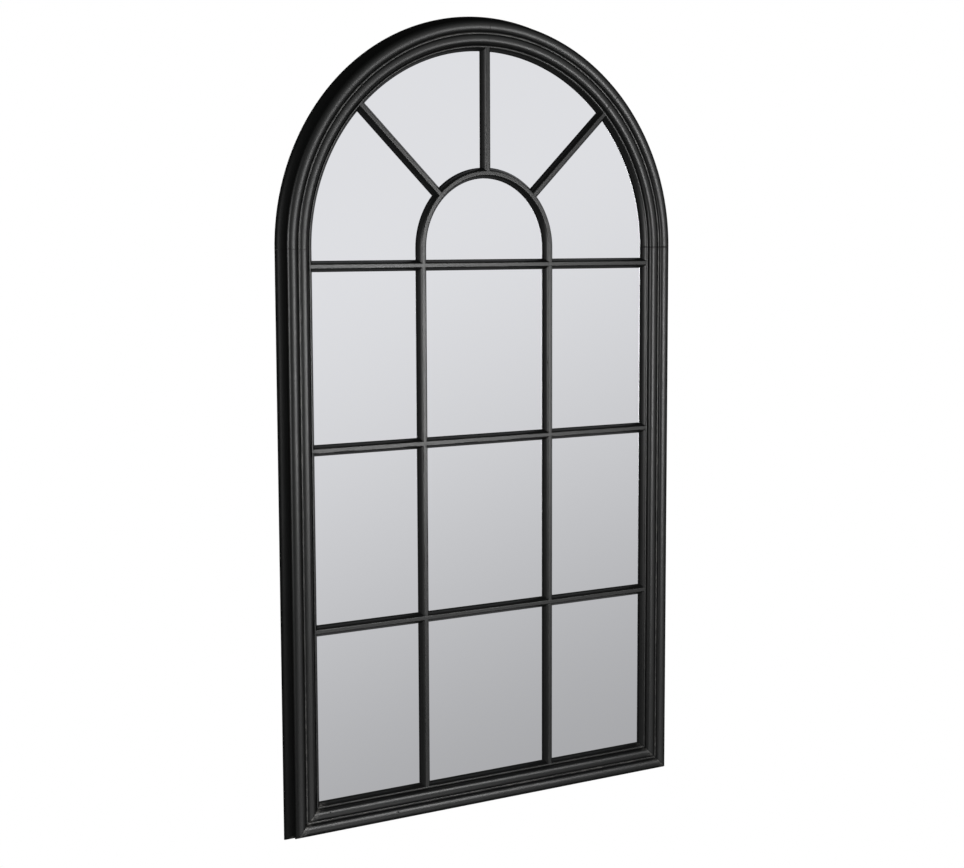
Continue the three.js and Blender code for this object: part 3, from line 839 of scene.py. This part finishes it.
@finish("black_paint_finish")
def paint_material(steps, place, colours):
    """Satin black paint over wood: brushed grain, specks, pits and edges rubbed thin, with painted
    shade darkening its grooves, pits and the wood beside the glass, and painted glints among the scuffs
    at the mitres.
    """
    grain = steps.value("ShaderNodeAttribute", "Vector", attribute_name="grain")
    arris, hollow, joint, rub = (
        steps.value("ShaderNodeAttribute", "Fac", attribute_name=name)
        for name in ("arris", "hollow", "joint", "rub")
    )
    brushed = steps.noise(grain, BRUSH_MARKS, 4.0, 0.62)
    specks = steps.noise(grain, SPECKS, 3.0, 0.7)
    patches = steps.noise(grain, PATCHES, 2.0)

    inputs = {"Vector": steps.stretch(grain, PIT_CELLS), "Scale": 1.0}
    cells = steps.add("ShaderNodeTexVoronoi", inputs).outputs
    chosen = steps.ramp(steps.split(Value(steps, cells["Color"]))[0], 0.93, 0.95)
    near = steps.ramp(Value(steps, cells["Distance"]), 0.05, 0.11, 1.0, 0.0)
    dents = [spot(steps, place, *dent) for dent in DENTS]
    x, z, radius = NAIL_HOLE
    filler = spot(steps, place, x, z, radius)
    rim = spot(steps, place, x, z, radius * RIM_REACH) - filler
    # Pits, dents and the sunk rim round the filled hole: besides their bump, the paint in them is
    # darkened as painted shade
    pits = steps.most(chosen * near, *dents, rim)

    rubbed = steps.ramp(steps.noise(grain, 55.0, 4.0, 0.7), 0.42, 0.72)
    thin = steps.ramp(specks, 0.55, 0.8) * 0.15
    scuffs = steps.ramp(steps.noise(grain, 260.0, 3.0, 0.7), 0.40, 0.66)
    worn = steps.most(arris * rubbed, thin, filler * 0.9)
    # Painted shade: grooves, hollow corners, the wood beside the glass, pits and dents go near black;
    # joint lines are dark joints in the paint
    shade_and_joints = steps.most(pits, hollow, steps.ramp(joint, 0.10, 0.40))
    base = steps.blend(worn, colours.paint, colours.paint_worn)
    # Near the mitres, scuffs lighten the paint towards a pale colour that is partly scuffed paint and
    # partly a painted glint
    base = steps.blend(rub * scuffs, base, colours.paint_scuff_glint)
    dull_specks = steps.ramp(specks, 0.40, 0.62)
    height = brushed + specks * 0.35 - pits * 2.0
    return {
        "Base Color": steps.blend(shade_and_joints, base, SHADE_AND_JOINT_BLACK),
        "Roughness": brushed * 0.12 + 0.23 + patches * 0.06 + dull_specks * 0.07 + shade_and_joints * 0.55,
        "Specular IOR Level": 0.32,
        "Normal": steps.bump(height, 0.07 * MM, 0.6),
    }


@finish("silvered_glass")
def mirror_material(steps, place, colours):
    """Silvered glass, faintly uneven."""
    float_lines = steps.noise(place, 2.5, 0.0)
    return {
        "Base Color": colours.silver,
        "Metallic": 1.0,
        "Roughness": 0.0,
        "Normal": steps.bump(float_lines, 0.02 * MM, 0.2),
    }


@finish("hardboard")
def board_material(steps, place, colours):
    """Smooth brown hardboard with pale fibres and a few stains."""
    fibres = steps.noise(place, 700.0, 6.0, 0.75)
    strands = steps.noise(place, HARDBOARD_STRANDS, 4.0, 0.7)
    stains = steps.ramp(steps.noise(place, 9.0, 3.0), 0.35, 0.7) * 0.28
    base = steps.blend(steps.ramp(strands, 0.52, 0.74), colours.board, colours.board_fibre)
    return {
        "Base Color": steps.blend(stains, base, BOARD_STAIN),
        "Roughness": fibres * 0.25 + 0.6,
        "Normal": steps.bump(fibres + strands * 0.6, 0.15 * MM, 0.5),
    }


@finish("bare_beech")
def wood_material(steps, place, colours):
    """Bare beech with fine darker flecks."""
    rings = steps.ramp(steps.noise(place, BEECH_RINGS, 4.0, 0.6), 0.35, 0.7)
    flecks = steps.noise(place, 900.0, 3.0, 0.7)
    return {
        "Base Color": steps.blend(rings, colours.wood, colours.wood_dark),
        "Roughness": flecks * 0.2 + 0.6,
        "Normal": steps.bump(flecks, 0.1 * MM, 0.4),
    }


@finish("zinc_plating")
def zinc_material(steps, place, colours):
    """Zinc plating: fine rolling lines, dull patches and small dents."""
    lines = steps.noise(place, ROLLING_LINES, 3.0, 0.6)
    dull = steps.ramp(steps.noise(place, 160.0, 4.0, 0.65), 0.45, 0.75)
    return {
        "Base Color": steps.blend(dull, colours.zinc, colours.zinc_dull),
        "Metallic": 1.0,
        "Roughness": lines * 0.18 + 0.22 + dull * 0.15,
        "Normal": steps.bump(lines, 0.05 * MM, 0.5),
    }


@finish("moulded_rubber")
def rubber_material(steps, place, colours):
    """Matt moulded rubber, a little dusty."""
    pores = steps.noise(place, 2400.0, 3.0, 0.7)
    dust = steps.ramp(steps.noise(place, 500.0, 4.0, 0.7), 0.5, 0.85)
    return {
        "Base Color": steps.blend(dust, colours.rubber, DUST),
        "Roughness": pores * 0.2 + 0.72,
        "Normal": steps.bump(pores, 0.08 * MM, 0.6),
    }


@finish("studio_floor")
def floor_material(steps, place, colours):
    """Pale floor that the camera sees as the white background, with a faint shadow on it."""
    inputs = {"Base Color": FLOOR_GREY, "Roughness": steps.noise(place, 40.0, 3.0) + 0.4}
    plain = steps.value("ShaderNodeBsdfPrincipled", "BSDF", inputs)
    glow = steps.value("ShaderNodeEmission", "Emission", {"Strength": 1.0})
    seen = steps.value("ShaderNodeLightPath", "Is Camera Ray")
    away = steps.vector("LENGTH", "Value", {0: steps.stretch(place, (1.0, 1.0, 0.0))})
    share = seen * steps.ramp(away, *FLOOR_FADE)
    return steps.value("ShaderNodeMixShader", "Shader", {0: share, 1: plain, 2: glow})


def dress_nodes(names, material):
    """Gives CAD nodes that stay in view a finished material."""
    for name in names:
        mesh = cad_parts[name].data
        mesh.materials.clear()
        mesh.materials.append(material)


# ---- Frame and bars --------------------------------------------------------------------------

ARCH_MEMBERS = ("arch_lower_right", "arch_upper_right", "arch_upper_left", "arch_lower_left")
FIRST_ARCH_SEED = 4
FIRST_BAR_SEED = 21
OPEN_JOINT, FAINT_JOINT = 0.9, 0.15


class WINDOWMIRROR_OT_frame(bpy.types.Operator):
    """Builds the two stiles, the bottom rail and the four members of the arched head"""

    bl_idname = "windowmirror.frame"
    bl_label = "Moulded frame"

    def execute(self, context):
        section = frame_section(settings().moulding)
        outwards = shift(SIGHT_RADIUS)
        foot = ARCH_Z - SIGHT_BOTTOM_Z - TIGHT
        half = SIGHT_RADIUS - TIGHT
        mitre = dict(start_lean=-1.0, start_joint=0.5, end_joint=1.0)
        moulded_piece("right_stile", section, outwards, 1, -foot, -TIGHT, **mitre)
        mitre = dict(start_joint=0.2, end_lean=1.0, end_joint=0.5)
        moulded_piece("left_stile", section, turn(math.pi) @ outwards, 2, TIGHT, foot, **mitre)
        # Scuffs and painted glints at the bottom rail's mitres
        mitres = dict(start_lean=-1.0, start_joint=0.6, start_rub=1.0)
        mitres.update(end_lean=1.0, end_joint=0.6, end_rub=0.5)
        level = shift(z=SIGHT_BOTTOM_Z - ARCH_Z) @ turn(math.pi / 2)
        moulded_piece("bottom_rail", section, level, 3, -half, half, **mitres)
        whole = ARCH_JOINT_ANGLE * SIGHT_RADIUS
        details = dict(end_joint=FAINT_JOINT, bend_radius=SIGHT_RADIUS, bend_length=whole)
        for i, name in enumerate(ARCH_MEMBERS):
            place = turn(-i * ARCH_JOINT_ANGLE) @ outwards
            details["start_joint"] = FAINT_JOINT if i else OPEN_JOINT
            seed = FIRST_ARCH_SEED + i
            moulded_piece(name, section, place, seed, TIGHT, whole - TIGHT, **details)
        return {"FINISHED"}


class WINDOWMIRROR_OT_bars(bpy.types.Operator):
    """Builds the level bars, the uprights between them, the arc bar and the three spokes"""

    bl_idname = "windowmirror.bars"
    bl_label = "Glazing bars"

    def execute(self, context):
        sizes = settings().moulding
        section = bar_section(sizes)
        half_bar = sizes.bar_width / 2
        reach = SIGHT_RADIUS + half_bar
        stops = [z - ARCH_Z for z in LEVEL_BAR_Z] + [SIGHT_BOTTOM_Z - half_bar - ARCH_Z]
        bars = []
        for name, z in zip(LEVEL_BARS, stops):
            bars.append((name, shift(z=z) @ turn(math.pi / 2), -reach, reach, {}))
        for row, (top, bottom) in enumerate(zip(stops, stops[1:]), 1):
            for side, x in zip(SIDES, (-UPRIGHT_X, UPRIGHT_X)):
                bars.append((f"{side}_upright_{row}", shift(x), bottom, top, {}))
        rise = math.pi * UPRIGHT_X
        bend = dict(bend_radius=UPRIGHT_X, bend_length=rise)
        bars.append(("arc_bar", shift(UPRIGHT_X), stops[0], rise - stops[0], bend))
        hollows = dict(start_hollow=-0.5 / (UPRIGHT_X + half_bar), end_hollow=-0.5 / reach)
        for name, lean in (("left", -1), ("centre", 0), ("right", 1)):
            bars.append((f"{name}_spoke", turn(lean * SPOKE_ANGLE), UPRIGHT_X, reach, hollows))
        for seed, (name, place, start, end, details) in enumerate(bars, FIRST_BAR_SEED):
            ends = (start + SEAM, end - SEAM)
            copes = dict(start_cope=1.0, end_cope=-1.0)
            moulded_piece(name, section, place, seed, *ends, **copes, **details)
        return {"FINISHED"}


class WINDOWMIRROR_OT_plate(bpy.types.Operator):
    """Silvers the one mirror plate behind the bars"""

    bl_idname = "windowmirror.plate"
    bl_label = "Mirror plate"

    def execute(self, context):
        dress_nodes(["mirror_plate"], mirror_material())
        return {"FINISHED"}


class WINDOWMIRROR_OT_joinery(bpy.types.Operator):
    """Finishes the tongues and dowels hidden in the joints as bare wood"""

    bl_idname = "windowmirror.joinery"
    bl_label = "Hidden tongues and dowels"

    def execute(self, context):
        hidden = [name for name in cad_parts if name.endswith(("_spline", "_dowel"))]
        dress_nodes(hidden, wood_material())
        return {"FINISHED"}


# ---- Board, screws and hangers ---------------------------------------------------------------

BOARD_STEPS = 96
SCREW_SIDES = 28
WIRE_SIDES = 20
BUMPER_SIDES = 48
BOARD_EDGE = 0.4 * MM
STRAP_EDGE = 0.2 * MM
SCREW_EDGE = 0.15 * MM
SCREW_TIP = 0.8 * MM
SCREW_POINT = 4.8 * MM
HEAD_WALL = 0.35  # share of a screw head's height that is straight
PLATE_ROWS = (1.0, 0.97, 0.94, 0.7, 0.4, 0.12)  # rows on the strap's flat part, in its lengths
CORNER_STEPS = 6
QUARTER_STEPS = 8
KNUCKLE_ARC = (-90, 210, 28)  # from and to in degrees, and the steps between
BOW_STEPS = 40
RECESS_ARM = 0.56  # in the head's radii
RECESS_TOP = (1.15, 0.6)  # a recess blade's reach and half width, in arms and recess widths
RECESS_FLOOR = (0.45, 0.3)
BOARD_SEED, HANGER_SEED = 3, 5
MERGED = 0.001 * MM
BUMPER_RIM = 1.1 * MM
CUP_DEPTH = 1.6 * MM


class WINDOWMIRROR_OT_board(bpy.types.Operator):
    """Builds the hardboard back with its smooth arched edge"""

    bl_idname = "windowmirror.board"
    bl_label = "Back board"

    def execute(self, context):
        low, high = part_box("back_board")
        radius = high.x
        outline = [(-radius, low.z), (radius, low.z)]
        outline += arc((0.0, ARCH_Z), (radius, radius), 0, 180, BOARD_STEPS)
        mesh = bpy.data.meshes.new("back_board_sheet")
        with edited(mesh) as work:
            face = work.faces.new([work.verts.new((x, low.y, z)) for x, z in outline])
            grown = bmesh.ops.extrude_face_region(work, geom=[face])["geom"]
            moved = [item for item in grown if isinstance(item, bmesh.types.BMVert)]
            bmesh.ops.translate(work, verts=moved, vec=(0.0, high.y - low.y, 0.0))
        clean_shell(mesh)
        mesh = soften_edges(mesh, BOARD_EDGE)
        mesh.materials.append(board_material())
        add_piece("back_board_sheet", mesh, ["back_board"])
        return {"FINISHED"}


def lathe(name, profile, sides):
    """A closed solid turned about Y from (radius, y) points that start and end on the axis."""
    mesh = bpy.data.meshes.new(name)
    with edited(mesh) as work:
        rings = []
        for radius, y in profile:
            spots = arc((0.0, 0.0), (radius, radius), 0, 360, sides if radius else 1)[:-1]
            rings.append([work.verts.new((x, y, z)) for x, z in spots])
        for lower, upper in zip(rings, rings[1:]):
            for i in range(sides):
                corners = [lower[i % len(lower)], lower[(i + 1) % len(lower)]]
                corners += [upper[(i + 1) % len(upper)], upper[i % len(upper)]]
                work.faces.new(list(dict.fromkeys(corners)))
        bmesh.ops.recalc_face_normals(work, faces=work.faces)
    return mesh


def cross_cutter(sizes):
    """Two crossed tapering blades that sink the recess into a screw's head."""
    arm, width = sizes.screw_head * RECESS_ARM, sizes.recess_width
    top = (sizes.screw_head_height + 0.5 * MM, arm * RECESS_TOP[0], width * RECESS_TOP[1])
    floor = (sizes.screw_head_height * 0.25, arm * RECESS_FLOOR[0], width * RECESS_FLOOR[1])
    mesh = bpy.data.meshes.new("recess")
    with edited(mesh) as work:
        for angle in (0.0, math.pi / 2):
            corners = []
            for y, reach, half in (top, floor):
                for x, z in ((-reach, -half), (reach, -half), (reach, half), (-reach, half)):
                    corners.append(work.verts.new(turn(angle) @ Vector((x, y, z))))
            work.faces.new(corners[:4])
            work.faces.new(corners[4:])
            for i in range(4):
                j = (i + 1) % 4
                work.faces.new((corners[i], corners[j], corners[4 + j], corners[4 + i]))
        bmesh.ops.recalc_face_normals(work, faces=work.faces)
    return mesh


def screw_mesh(sizes, length):
    """A pan-head wood screw along Y, its head towards the wall, with a cross recess."""
    head, height, shank = sizes.screw_head, sizes.screw_head_height, sizes.screw_radius
    wall = height * HEAD_WALL
    profile = [(0.0, -length), (shank * 0.4, SCREW_TIP - length), (shank, SCREW_POINT - length)]
    profile += [(shank, 0.0), (head - SCREW_EDGE, 0.0), (head, SCREW_EDGE)]
    profile += arc((0.0, wall), (head, height - wall), 0, 90, QUARTER_STEPS)[:-1]
    profile.append((0.0, height))
    cutter = link_object("recess_cutter", cross_cutter(sizes))

    def prepare(source):
        cut = source.modifiers.new("recess", "BOOLEAN")
        cut.operation = "DIFFERENCE"
        cut.solver = "EXACT"
        cut.use_self = True
        cut.object = cutter

    mesh = mesh_from_modifiers("screw", lathe("turned_screw", profile, SCREW_SIDES), prepare)
    bpy.data.objects.remove(cutter)
    mesh.materials.clear()
    mesh.materials.append(zinc_material())
    return mesh


@geometry_tree("fixings", [("Screw", "Object"), ("Seed", "Int")])
def fixings_tree(steps, given):
    """Sets one screw on every point, each turned at random."""
    inputs = {"Object": given["Screw"]}
    screw = steps.value("GeometryNodeObjectInfo", "Geometry", inputs, transform_space="ORIGINAL")
    inputs = {2: 0.0, 3: math.pi, "Seed": given["Seed"]}
    angles = steps.join(y=steps.value("FunctionNodeRandomValue", 1, inputs, data_type="FLOAT"))
    rotation = steps.value("FunctionNodeEulerToRotation", "Rotation", {"Euler": angles})
    inputs = {"Points": given["Geometry"], "Instance": screw, "Rotation": rotation}
    return steps.value("GeometryNodeInstanceOnPoints", "Instances", inputs)


def add_fixings(name, nodes, seed):
    """One piece with a screw at the place of every named node."""
    sizes = settings().fittings
    height = sizes.screw_head_height
    places = [(middle(node).x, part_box(node)[1].y - height, middle(node).z) for node in nodes]
    points = bpy.data.meshes.new(name + "_points")
    points.from_pydata(places, [], [])
    low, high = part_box(nodes[0])
    template = link_object(name + "_template", screw_mesh(sizes, high.y - low.y - height))
    values = {"Screw": template, "Seed": seed, "Material": zinc_material()}
    mesh = run_tree(name, points, fixings_tree(), values)
    bpy.data.objects.remove(template)
    add_piece(name, mesh, nodes, sharp=SHARP_SCREW)


class WINDOWMIRROR_OT_fixings(bpy.types.Operator):
    """Sets the screws of the back board and of both hangers"""

    bl_idname = "windowmirror.fixings"
    bl_label = "Screws"

    def execute(self, context):
        board_screws = [n for n in sorted(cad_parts) if n.startswith("board_screw_")]
        add_fixings("board_fixings", board_screws, BOARD_SEED)
        for side in SIDES:
            screws = [f"{side}_hanger_screw_{i}" for i in (1, 2)]
            add_fixings(f"{side}_hanger_fixings", screws, HANGER_SEED)
        return {"FINISHED"}


def strap_lines(sizes):
    """The strap's two side outlines as (z from the hinge line, y from the frame's back)."""
    outer, thickness = sizes.knuckle_radius, sizes.strap_thickness
    lines = []
    for radius, y in ((outer, 0.0), (outer - thickness, thickness)):
        plate = [(-sizes.strap_length * share, y) for share in PLATE_ROWS]
        lines.append(plate + arc((0.0, outer), (radius, radius), *KNUCKLE_ARC))
    return lines


def strap_mesh(name, sizes):
    """The hanger's strap, its end rolled round the ring and its lower corners rounded."""
    half, corner = sizes.strap_width / 2, sizes.strap_corner
    centre = (half - corner, corner - sizes.strap_length)
    columns = arc(centre, (corner, -corner), 90, 0, CORNER_STEPS)[1:]
    columns = [(-x, foot) for x, foot in reversed(columns)] + columns
    mesh = bpy.data.meshes.new(name)
    with edited(mesh) as work:

        def strip(first, second):
            for corners in zip(first, first[1:], second[1:], second):
                work.faces.new(corners)

        front, back = (
            [[work.verts.new((x, y, max(z, foot))) for x, foot in columns] for z, y in line]
            for line in strap_lines(sizes)
        )
        for rows in (front, back):
            for near, far in zip(rows, rows[1:]):
                strip(near, far)
        for end in (0, -1):
            strip(front[end], back[end])
            strip([row[end] for row in front], [row[end] for row in back])
        bmesh.ops.remove_doubles(work, verts=work.verts, dist=MERGED)
        bmesh.ops.dissolve_degenerate(work, edges=work.edges, dist=MERGED)
    return mesh


class WINDOWMIRROR_OT_straps(bpy.types.Operator):
    """Builds the two folded straps that carry the rings"""

    bl_idname = "windowmirror.straps"
    bl_label = "Hanger straps"

    def execute(self, context):
        sizes = settings().fittings
        for side in SIDES:
            node = f"{side}_hanger_strap"
            name = node + "_folded"
            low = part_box(node)[0]
            mesh = strap_mesh(name, sizes)
            mesh.transform(shift(middle(node).x, low.y, low.z + sizes.strap_length))
            clean_shell(mesh, SOFTENED_STRAP)
            mesh = soften_edges(mesh, STRAP_EDGE)
            mesh.materials.append(zinc_material())
            add_piece(name, mesh, [node])
        return {"FINISHED"}


@geometry_tree("ring_wire", [("Wire radius", "Float"), ("Sides", "Int")])
def ring_tree(steps, given):
    """Draws a round wire along a closed path."""
    path = steps.value("GeometryNodeMeshToCurve", "Curve", {"Mesh": given["Geometry"]})
    inputs = {"Resolution": given["Sides"], "Radius": given["Wire radius"]}
    circle = steps.value("GeometryNodeCurvePrimitiveCircle", "Curve", inputs)
    inputs = {"Curve": path, "Profile Curve": circle}
    return steps.value("GeometryNodeCurveToMesh", "Mesh", inputs)


def ring_path(sizes):
    """The ring's centre line as (x, z): straight on the hinge line, then a round bow below."""
    half, corner = sizes.ring_half_width, sizes.ring_corner
    right = arc((half - corner, -corner), (corner, corner), 0, 90, QUARTER_STEPS)
    left = arc((corner - half, -corner), (corner, corner), 90, 180, QUARTER_STEPS)
    return right + left + arc((0.0, -sizes.ring_side), (half, half), 180, 360, BOW_STEPS)


class WINDOWMIRROR_OT_rings(bpy.types.Operator):
    """Draws the two wire rings, each turning in its strap"""

    bl_idname = "windowmirror.rings"
    bl_label = "Hanger rings"

    def execute(self, context):
        sizes = settings().fittings
        radius = sizes.wire_radius
        for side in SIDES:
            node = f"{side}_hanger_ring"
            name = node + "_wire"
            centre, hinge_z = middle(node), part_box(node)[1].z - radius
            points = [(centre.x + x, centre.y, hinge_z + z) for x, z in ring_path(sizes)]
            path = loop_mesh(node + "_path", points)
            values = {"Wire radius": radius, "Sides": WIRE_SIDES, "Material": zinc_material()}
            mesh = run_tree(name, path, ring_tree(), values)
            clean_shell(mesh)
            add_piece(name, mesh, [node], body=f"{side}_ring")
        return {"FINISHED"}


class WINDOWMIRROR_OT_bumpers(bpy.types.Operator):
    """Builds the two rubber wall bumpers"""

    bl_idname = "windowmirror.bumpers"
    bl_label = "Wall bumpers"

    def execute(self, context):
        radius = settings().fittings.bumper_radius
        rim = BUMPER_RIM
        for side in SIDES:
            node = f"{side}_wall_bumper"
            name = node + "_pad"
            low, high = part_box(node)
            top = high.y - low.y
            profile = [(0.0, 0.0), (radius - 0.2 * MM, 0.0), (radius, 0.25 * MM)]
            profile += arc((radius - rim, top - rim), (rim, rim), 0, 90, QUARTER_STEPS)
            profile += [(radius * 0.42, top), (radius * 0.36, top - 0.3 * MM)]
            profile += [(radius * 0.34, top - CUP_DEPTH), (0.0, top - CUP_DEPTH)]
            mesh = lathe(name, profile, BUMPER_SIDES)
            mesh.transform(shift(middle(node).x, low.y, middle(node).z))
            mesh.materials.append(rubber_material())
            add_piece(name, mesh, [node], sharp=SHARP_BUMPER)
        return {"FINISHED"}


# ---- Stage -----------------------------------------------------------------------------------

SENSOR_WIDTH = 36.0
FLOOR_HALF_WIDTH = 2.1
FLOOR_FADE = (0.9, 2.0, 0.95, 1.0)  # from and to, and how white the camera sees it there
# Name, bearing to the right and rise in degrees, distance, the height that these start from (None
# is the object's middle), and the lamp's width and height
LAMPS = (
    ("key", 23.3, 0.0, 3.16, -0.28, 0.85, 0.85),
    ("fill", -53.0, 0.0, 3.2, 0.05, 0.35, 1.1),
    ("side", -56.0, 2.0, 3.2, -0.1, 1.3, 1.2),
    ("back", 176.0, 16.0, 3.2, None, 1.6, 1.2),
    ("low", 10.0, -44.0, 2.6, -0.1, 1.4, 0.7),
)
STUDIO_SLANT = 0.40  # how fast the studio darkens to the right, against downwards
STUDIO_FALL = (0.175, 0.60)
STUDIO_FRONT = (-0.05, 0.30)  # how far in front of the wall plane it comes up
# Where the studio fades, in degrees, and its share at each end: up and down, then left and right
RISE_FADES = ((14, 42, 1.0, 0.05), (-48, -22, 0.05, 1.0))
BEARING_FADES = ((-25, 20, 0.25, 1.0), (42, 75, 1.0, 0.12))


def studio_world(stage):
    """White to the camera, and a pale studio that darkens low on the right to sharp reflections.

    Everything else sees that studio dark behind the wall plane, above, below and at the sides.
    """
    world = bpy.data.worlds.new("studio")
    world.use_nodes = True
    world.node_tree.nodes.clear()
    steps = Steps(world.node_tree)
    x, y, z = steps.split(steps.value("ShaderNodeTexCoord", "Generated"))
    towards = y * -1.0
    rise = steps.maths("ARCSINE", z)
    bearing = steps.maths("ARCTAN2", x, towards)
    fall = steps.most(bearing, 0.0) * STUDIO_SLANT - rise
    backdrop = steps.ramp(fall, *STUDIO_FALL, stage.studio_high, stage.studio_low)
    level = backdrop * steps.ramp(towards, *STUDIO_FRONT)
    for angle, fades in ((rise, RISE_FADES), (bearing, BEARING_FADES)):
        for near, far, at_near, at_far in fades:
            edges = (math.radians(near), math.radians(far))
            level = level * steps.ramp(angle, *edges, at_near, at_far)
    level = steps.most(level, stage.studio_behind)
    path = steps.add("ShaderNodeLightPath").outputs
    for asked, shown in (("Is Singular Ray", backdrop), ("Is Camera Ray", 1.0)):
        level = steps.blend(Value(steps, path[asked]), level, shown, "FLOAT")
    inputs = {"Color": WHITE, "Strength": level}
    glow = steps.value("ShaderNodeBackground", "Background", inputs)
    steps.add("ShaderNodeOutputWorld", {"Surface": glow})
    bpy.context.scene.world = world


def area_lamp(name, place, target, size, power):
    """A soft rectangular lamp aimed at a point."""
    data = bpy.data.lights.new(name, "AREA")
    data.shape = "RECTANGLE"
    data.size, data.size_y = size
    data.energy = power
    lamp = link_object(name, data)
    lamp.location = place
    lamp.rotation_euler = (target - place).to_track_quat("-Z", "Y").to_euler()
    return lamp


def spare_mirror(lamp):
    """Keeps a lamp's own image out of the mirror plate, which shows the studio instead."""
    plate = bpy.data.collections.new(lamp.name + "_spares")
    plate.objects.link(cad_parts["mirror_plate"])
    plate.collection_objects[0].light_linking.link_state = "EXCLUDE"
    lamp.light_linking.receiver_collection = plate


def around_wall(bearing, rise, distance, height):
    """A point round the wall by its bearing to the right, its rise and its distance."""
    across, lift = math.radians(bearing), math.radians(rise)
    level = distance * math.cos(lift)
    up = height + distance * math.sin(lift)
    return Vector((level * math.sin(across), -level * math.cos(across), up))


class WINDOWMIRROR_OT_stage(bpy.types.Operator):
    """Sets up the camera, the lamps, the pale floor and the studio"""

    bl_idname = "windowmirror.stage"
    bl_label = "Stage"

    def execute(self, context):
        stage = settings().stage
        context.scene.view_settings.view_transform = "Standard"

        heading, tilt, roll = stage.camera_turn
        level = Vector((math.cos(heading), -math.sin(heading), 0.0))
        ahead = Vector((math.sin(heading), math.cos(heading), 0.0)) * math.cos(tilt)
        ahead.z = math.sin(tilt)
        upright = level.cross(ahead)
        right = level * math.cos(roll) + upright * math.sin(roll)
        up = upright * math.cos(roll) - level * math.sin(roll)
        data = bpy.data.cameras.new("photo_camera")
        data.sensor_width = SENSOR_WIDTH
        data.lens = stage.lens
        camera = link_object("photo_camera", data)
        axes = Matrix((right, up, -ahead)).transposed().to_4x4()
        camera.matrix_world = Matrix.Translation(stage.camera_place) @ axes
        context.scene.camera = camera

        studio_world(stage)
        low, high = cad_box
        centre = (low + high) / 2
        for name, bearing, rise, distance, height, *size in LAMPS:
            place = around_wall(bearing, rise, distance, centre.z if height is None else height)
            power = getattr(stage, name + "_power")
            lamp = area_lamp(name + "_lamp", place, centre, size, power)
            if name != "back":
                spare_mirror(lamp)

        half = FLOOR_HALF_WIDTH
        floor_z = low.z - stage.floor_drop
        mesh = bpy.data.meshes.new("studio_floor")
        corners = [(-half, -half), (half, -half), (half, half), (-half, half)]
        mesh.from_pydata([(x, y, floor_z) for x, y in corners], [], [(0, 1, 2, 3)])
        mesh.materials.append(floor_material())
        floor = link_object("studio_floor", mesh)
        floor.visible_glossy = False
        return {"FINISHED"}


# ---- Panel and registration ------------------------------------------------------------------

OPERATORS = (
    WINDOWMIRROR_OT_stage,
    WINDOWMIRROR_OT_frame,
    WINDOWMIRROR_OT_bars,
    WINDOWMIRROR_OT_plate,
    WINDOWMIRROR_OT_joinery,
    WINDOWMIRROR_OT_board,
    WINDOWMIRROR_OT_fixings,
    WINDOWMIRROR_OT_straps,
    WINDOWMIRROR_OT_rings,
    WINDOWMIRROR_OT_bumpers,
)


class WINDOWMIRROR_PT_panel(bpy.types.Panel):
    """Lists the pieces of the window mirror"""

    bl_idname = "WINDOWMIRROR_PT_panel"
    bl_label = "Window Mirror"
    bl_space_type = "VIEW_3D"
    bl_region_type = "UI"
    bl_category = "Window Mirror"

    def draw(self, context):
        for operator in OPERATORS:
            self.layout.operator(operator.bl_idname)


CLASSES = (
    MouldingSizes,
    FittingSizes,
    FinishColours,
    StageSettings,
    WindowMirrorSettings,
    *OPERATORS,
    WINDOWMIRROR_PT_panel,
)


def register():
    """Registers the classes and the scene's settings."""
    for one in CLASSES:
        bpy.utils.register_class(one)
    bpy.types.Scene.window_mirror = bpy.props.PointerProperty(type=WindowMirrorSettings)


def unregister():
    """Takes the settings and the classes away again."""
    del bpy.types.Scene.window_mirror
    for one in reversed(CLASSES):
        bpy.utils.unregister_class(one)


def main():
    """Builds every piece in order."""
    register()
    for operator in OPERATORS:
        family, action = operator.bl_idname.split(".")
        getattr(getattr(bpy.ops, family), action)()


if __name__ == "__main__":
    main()
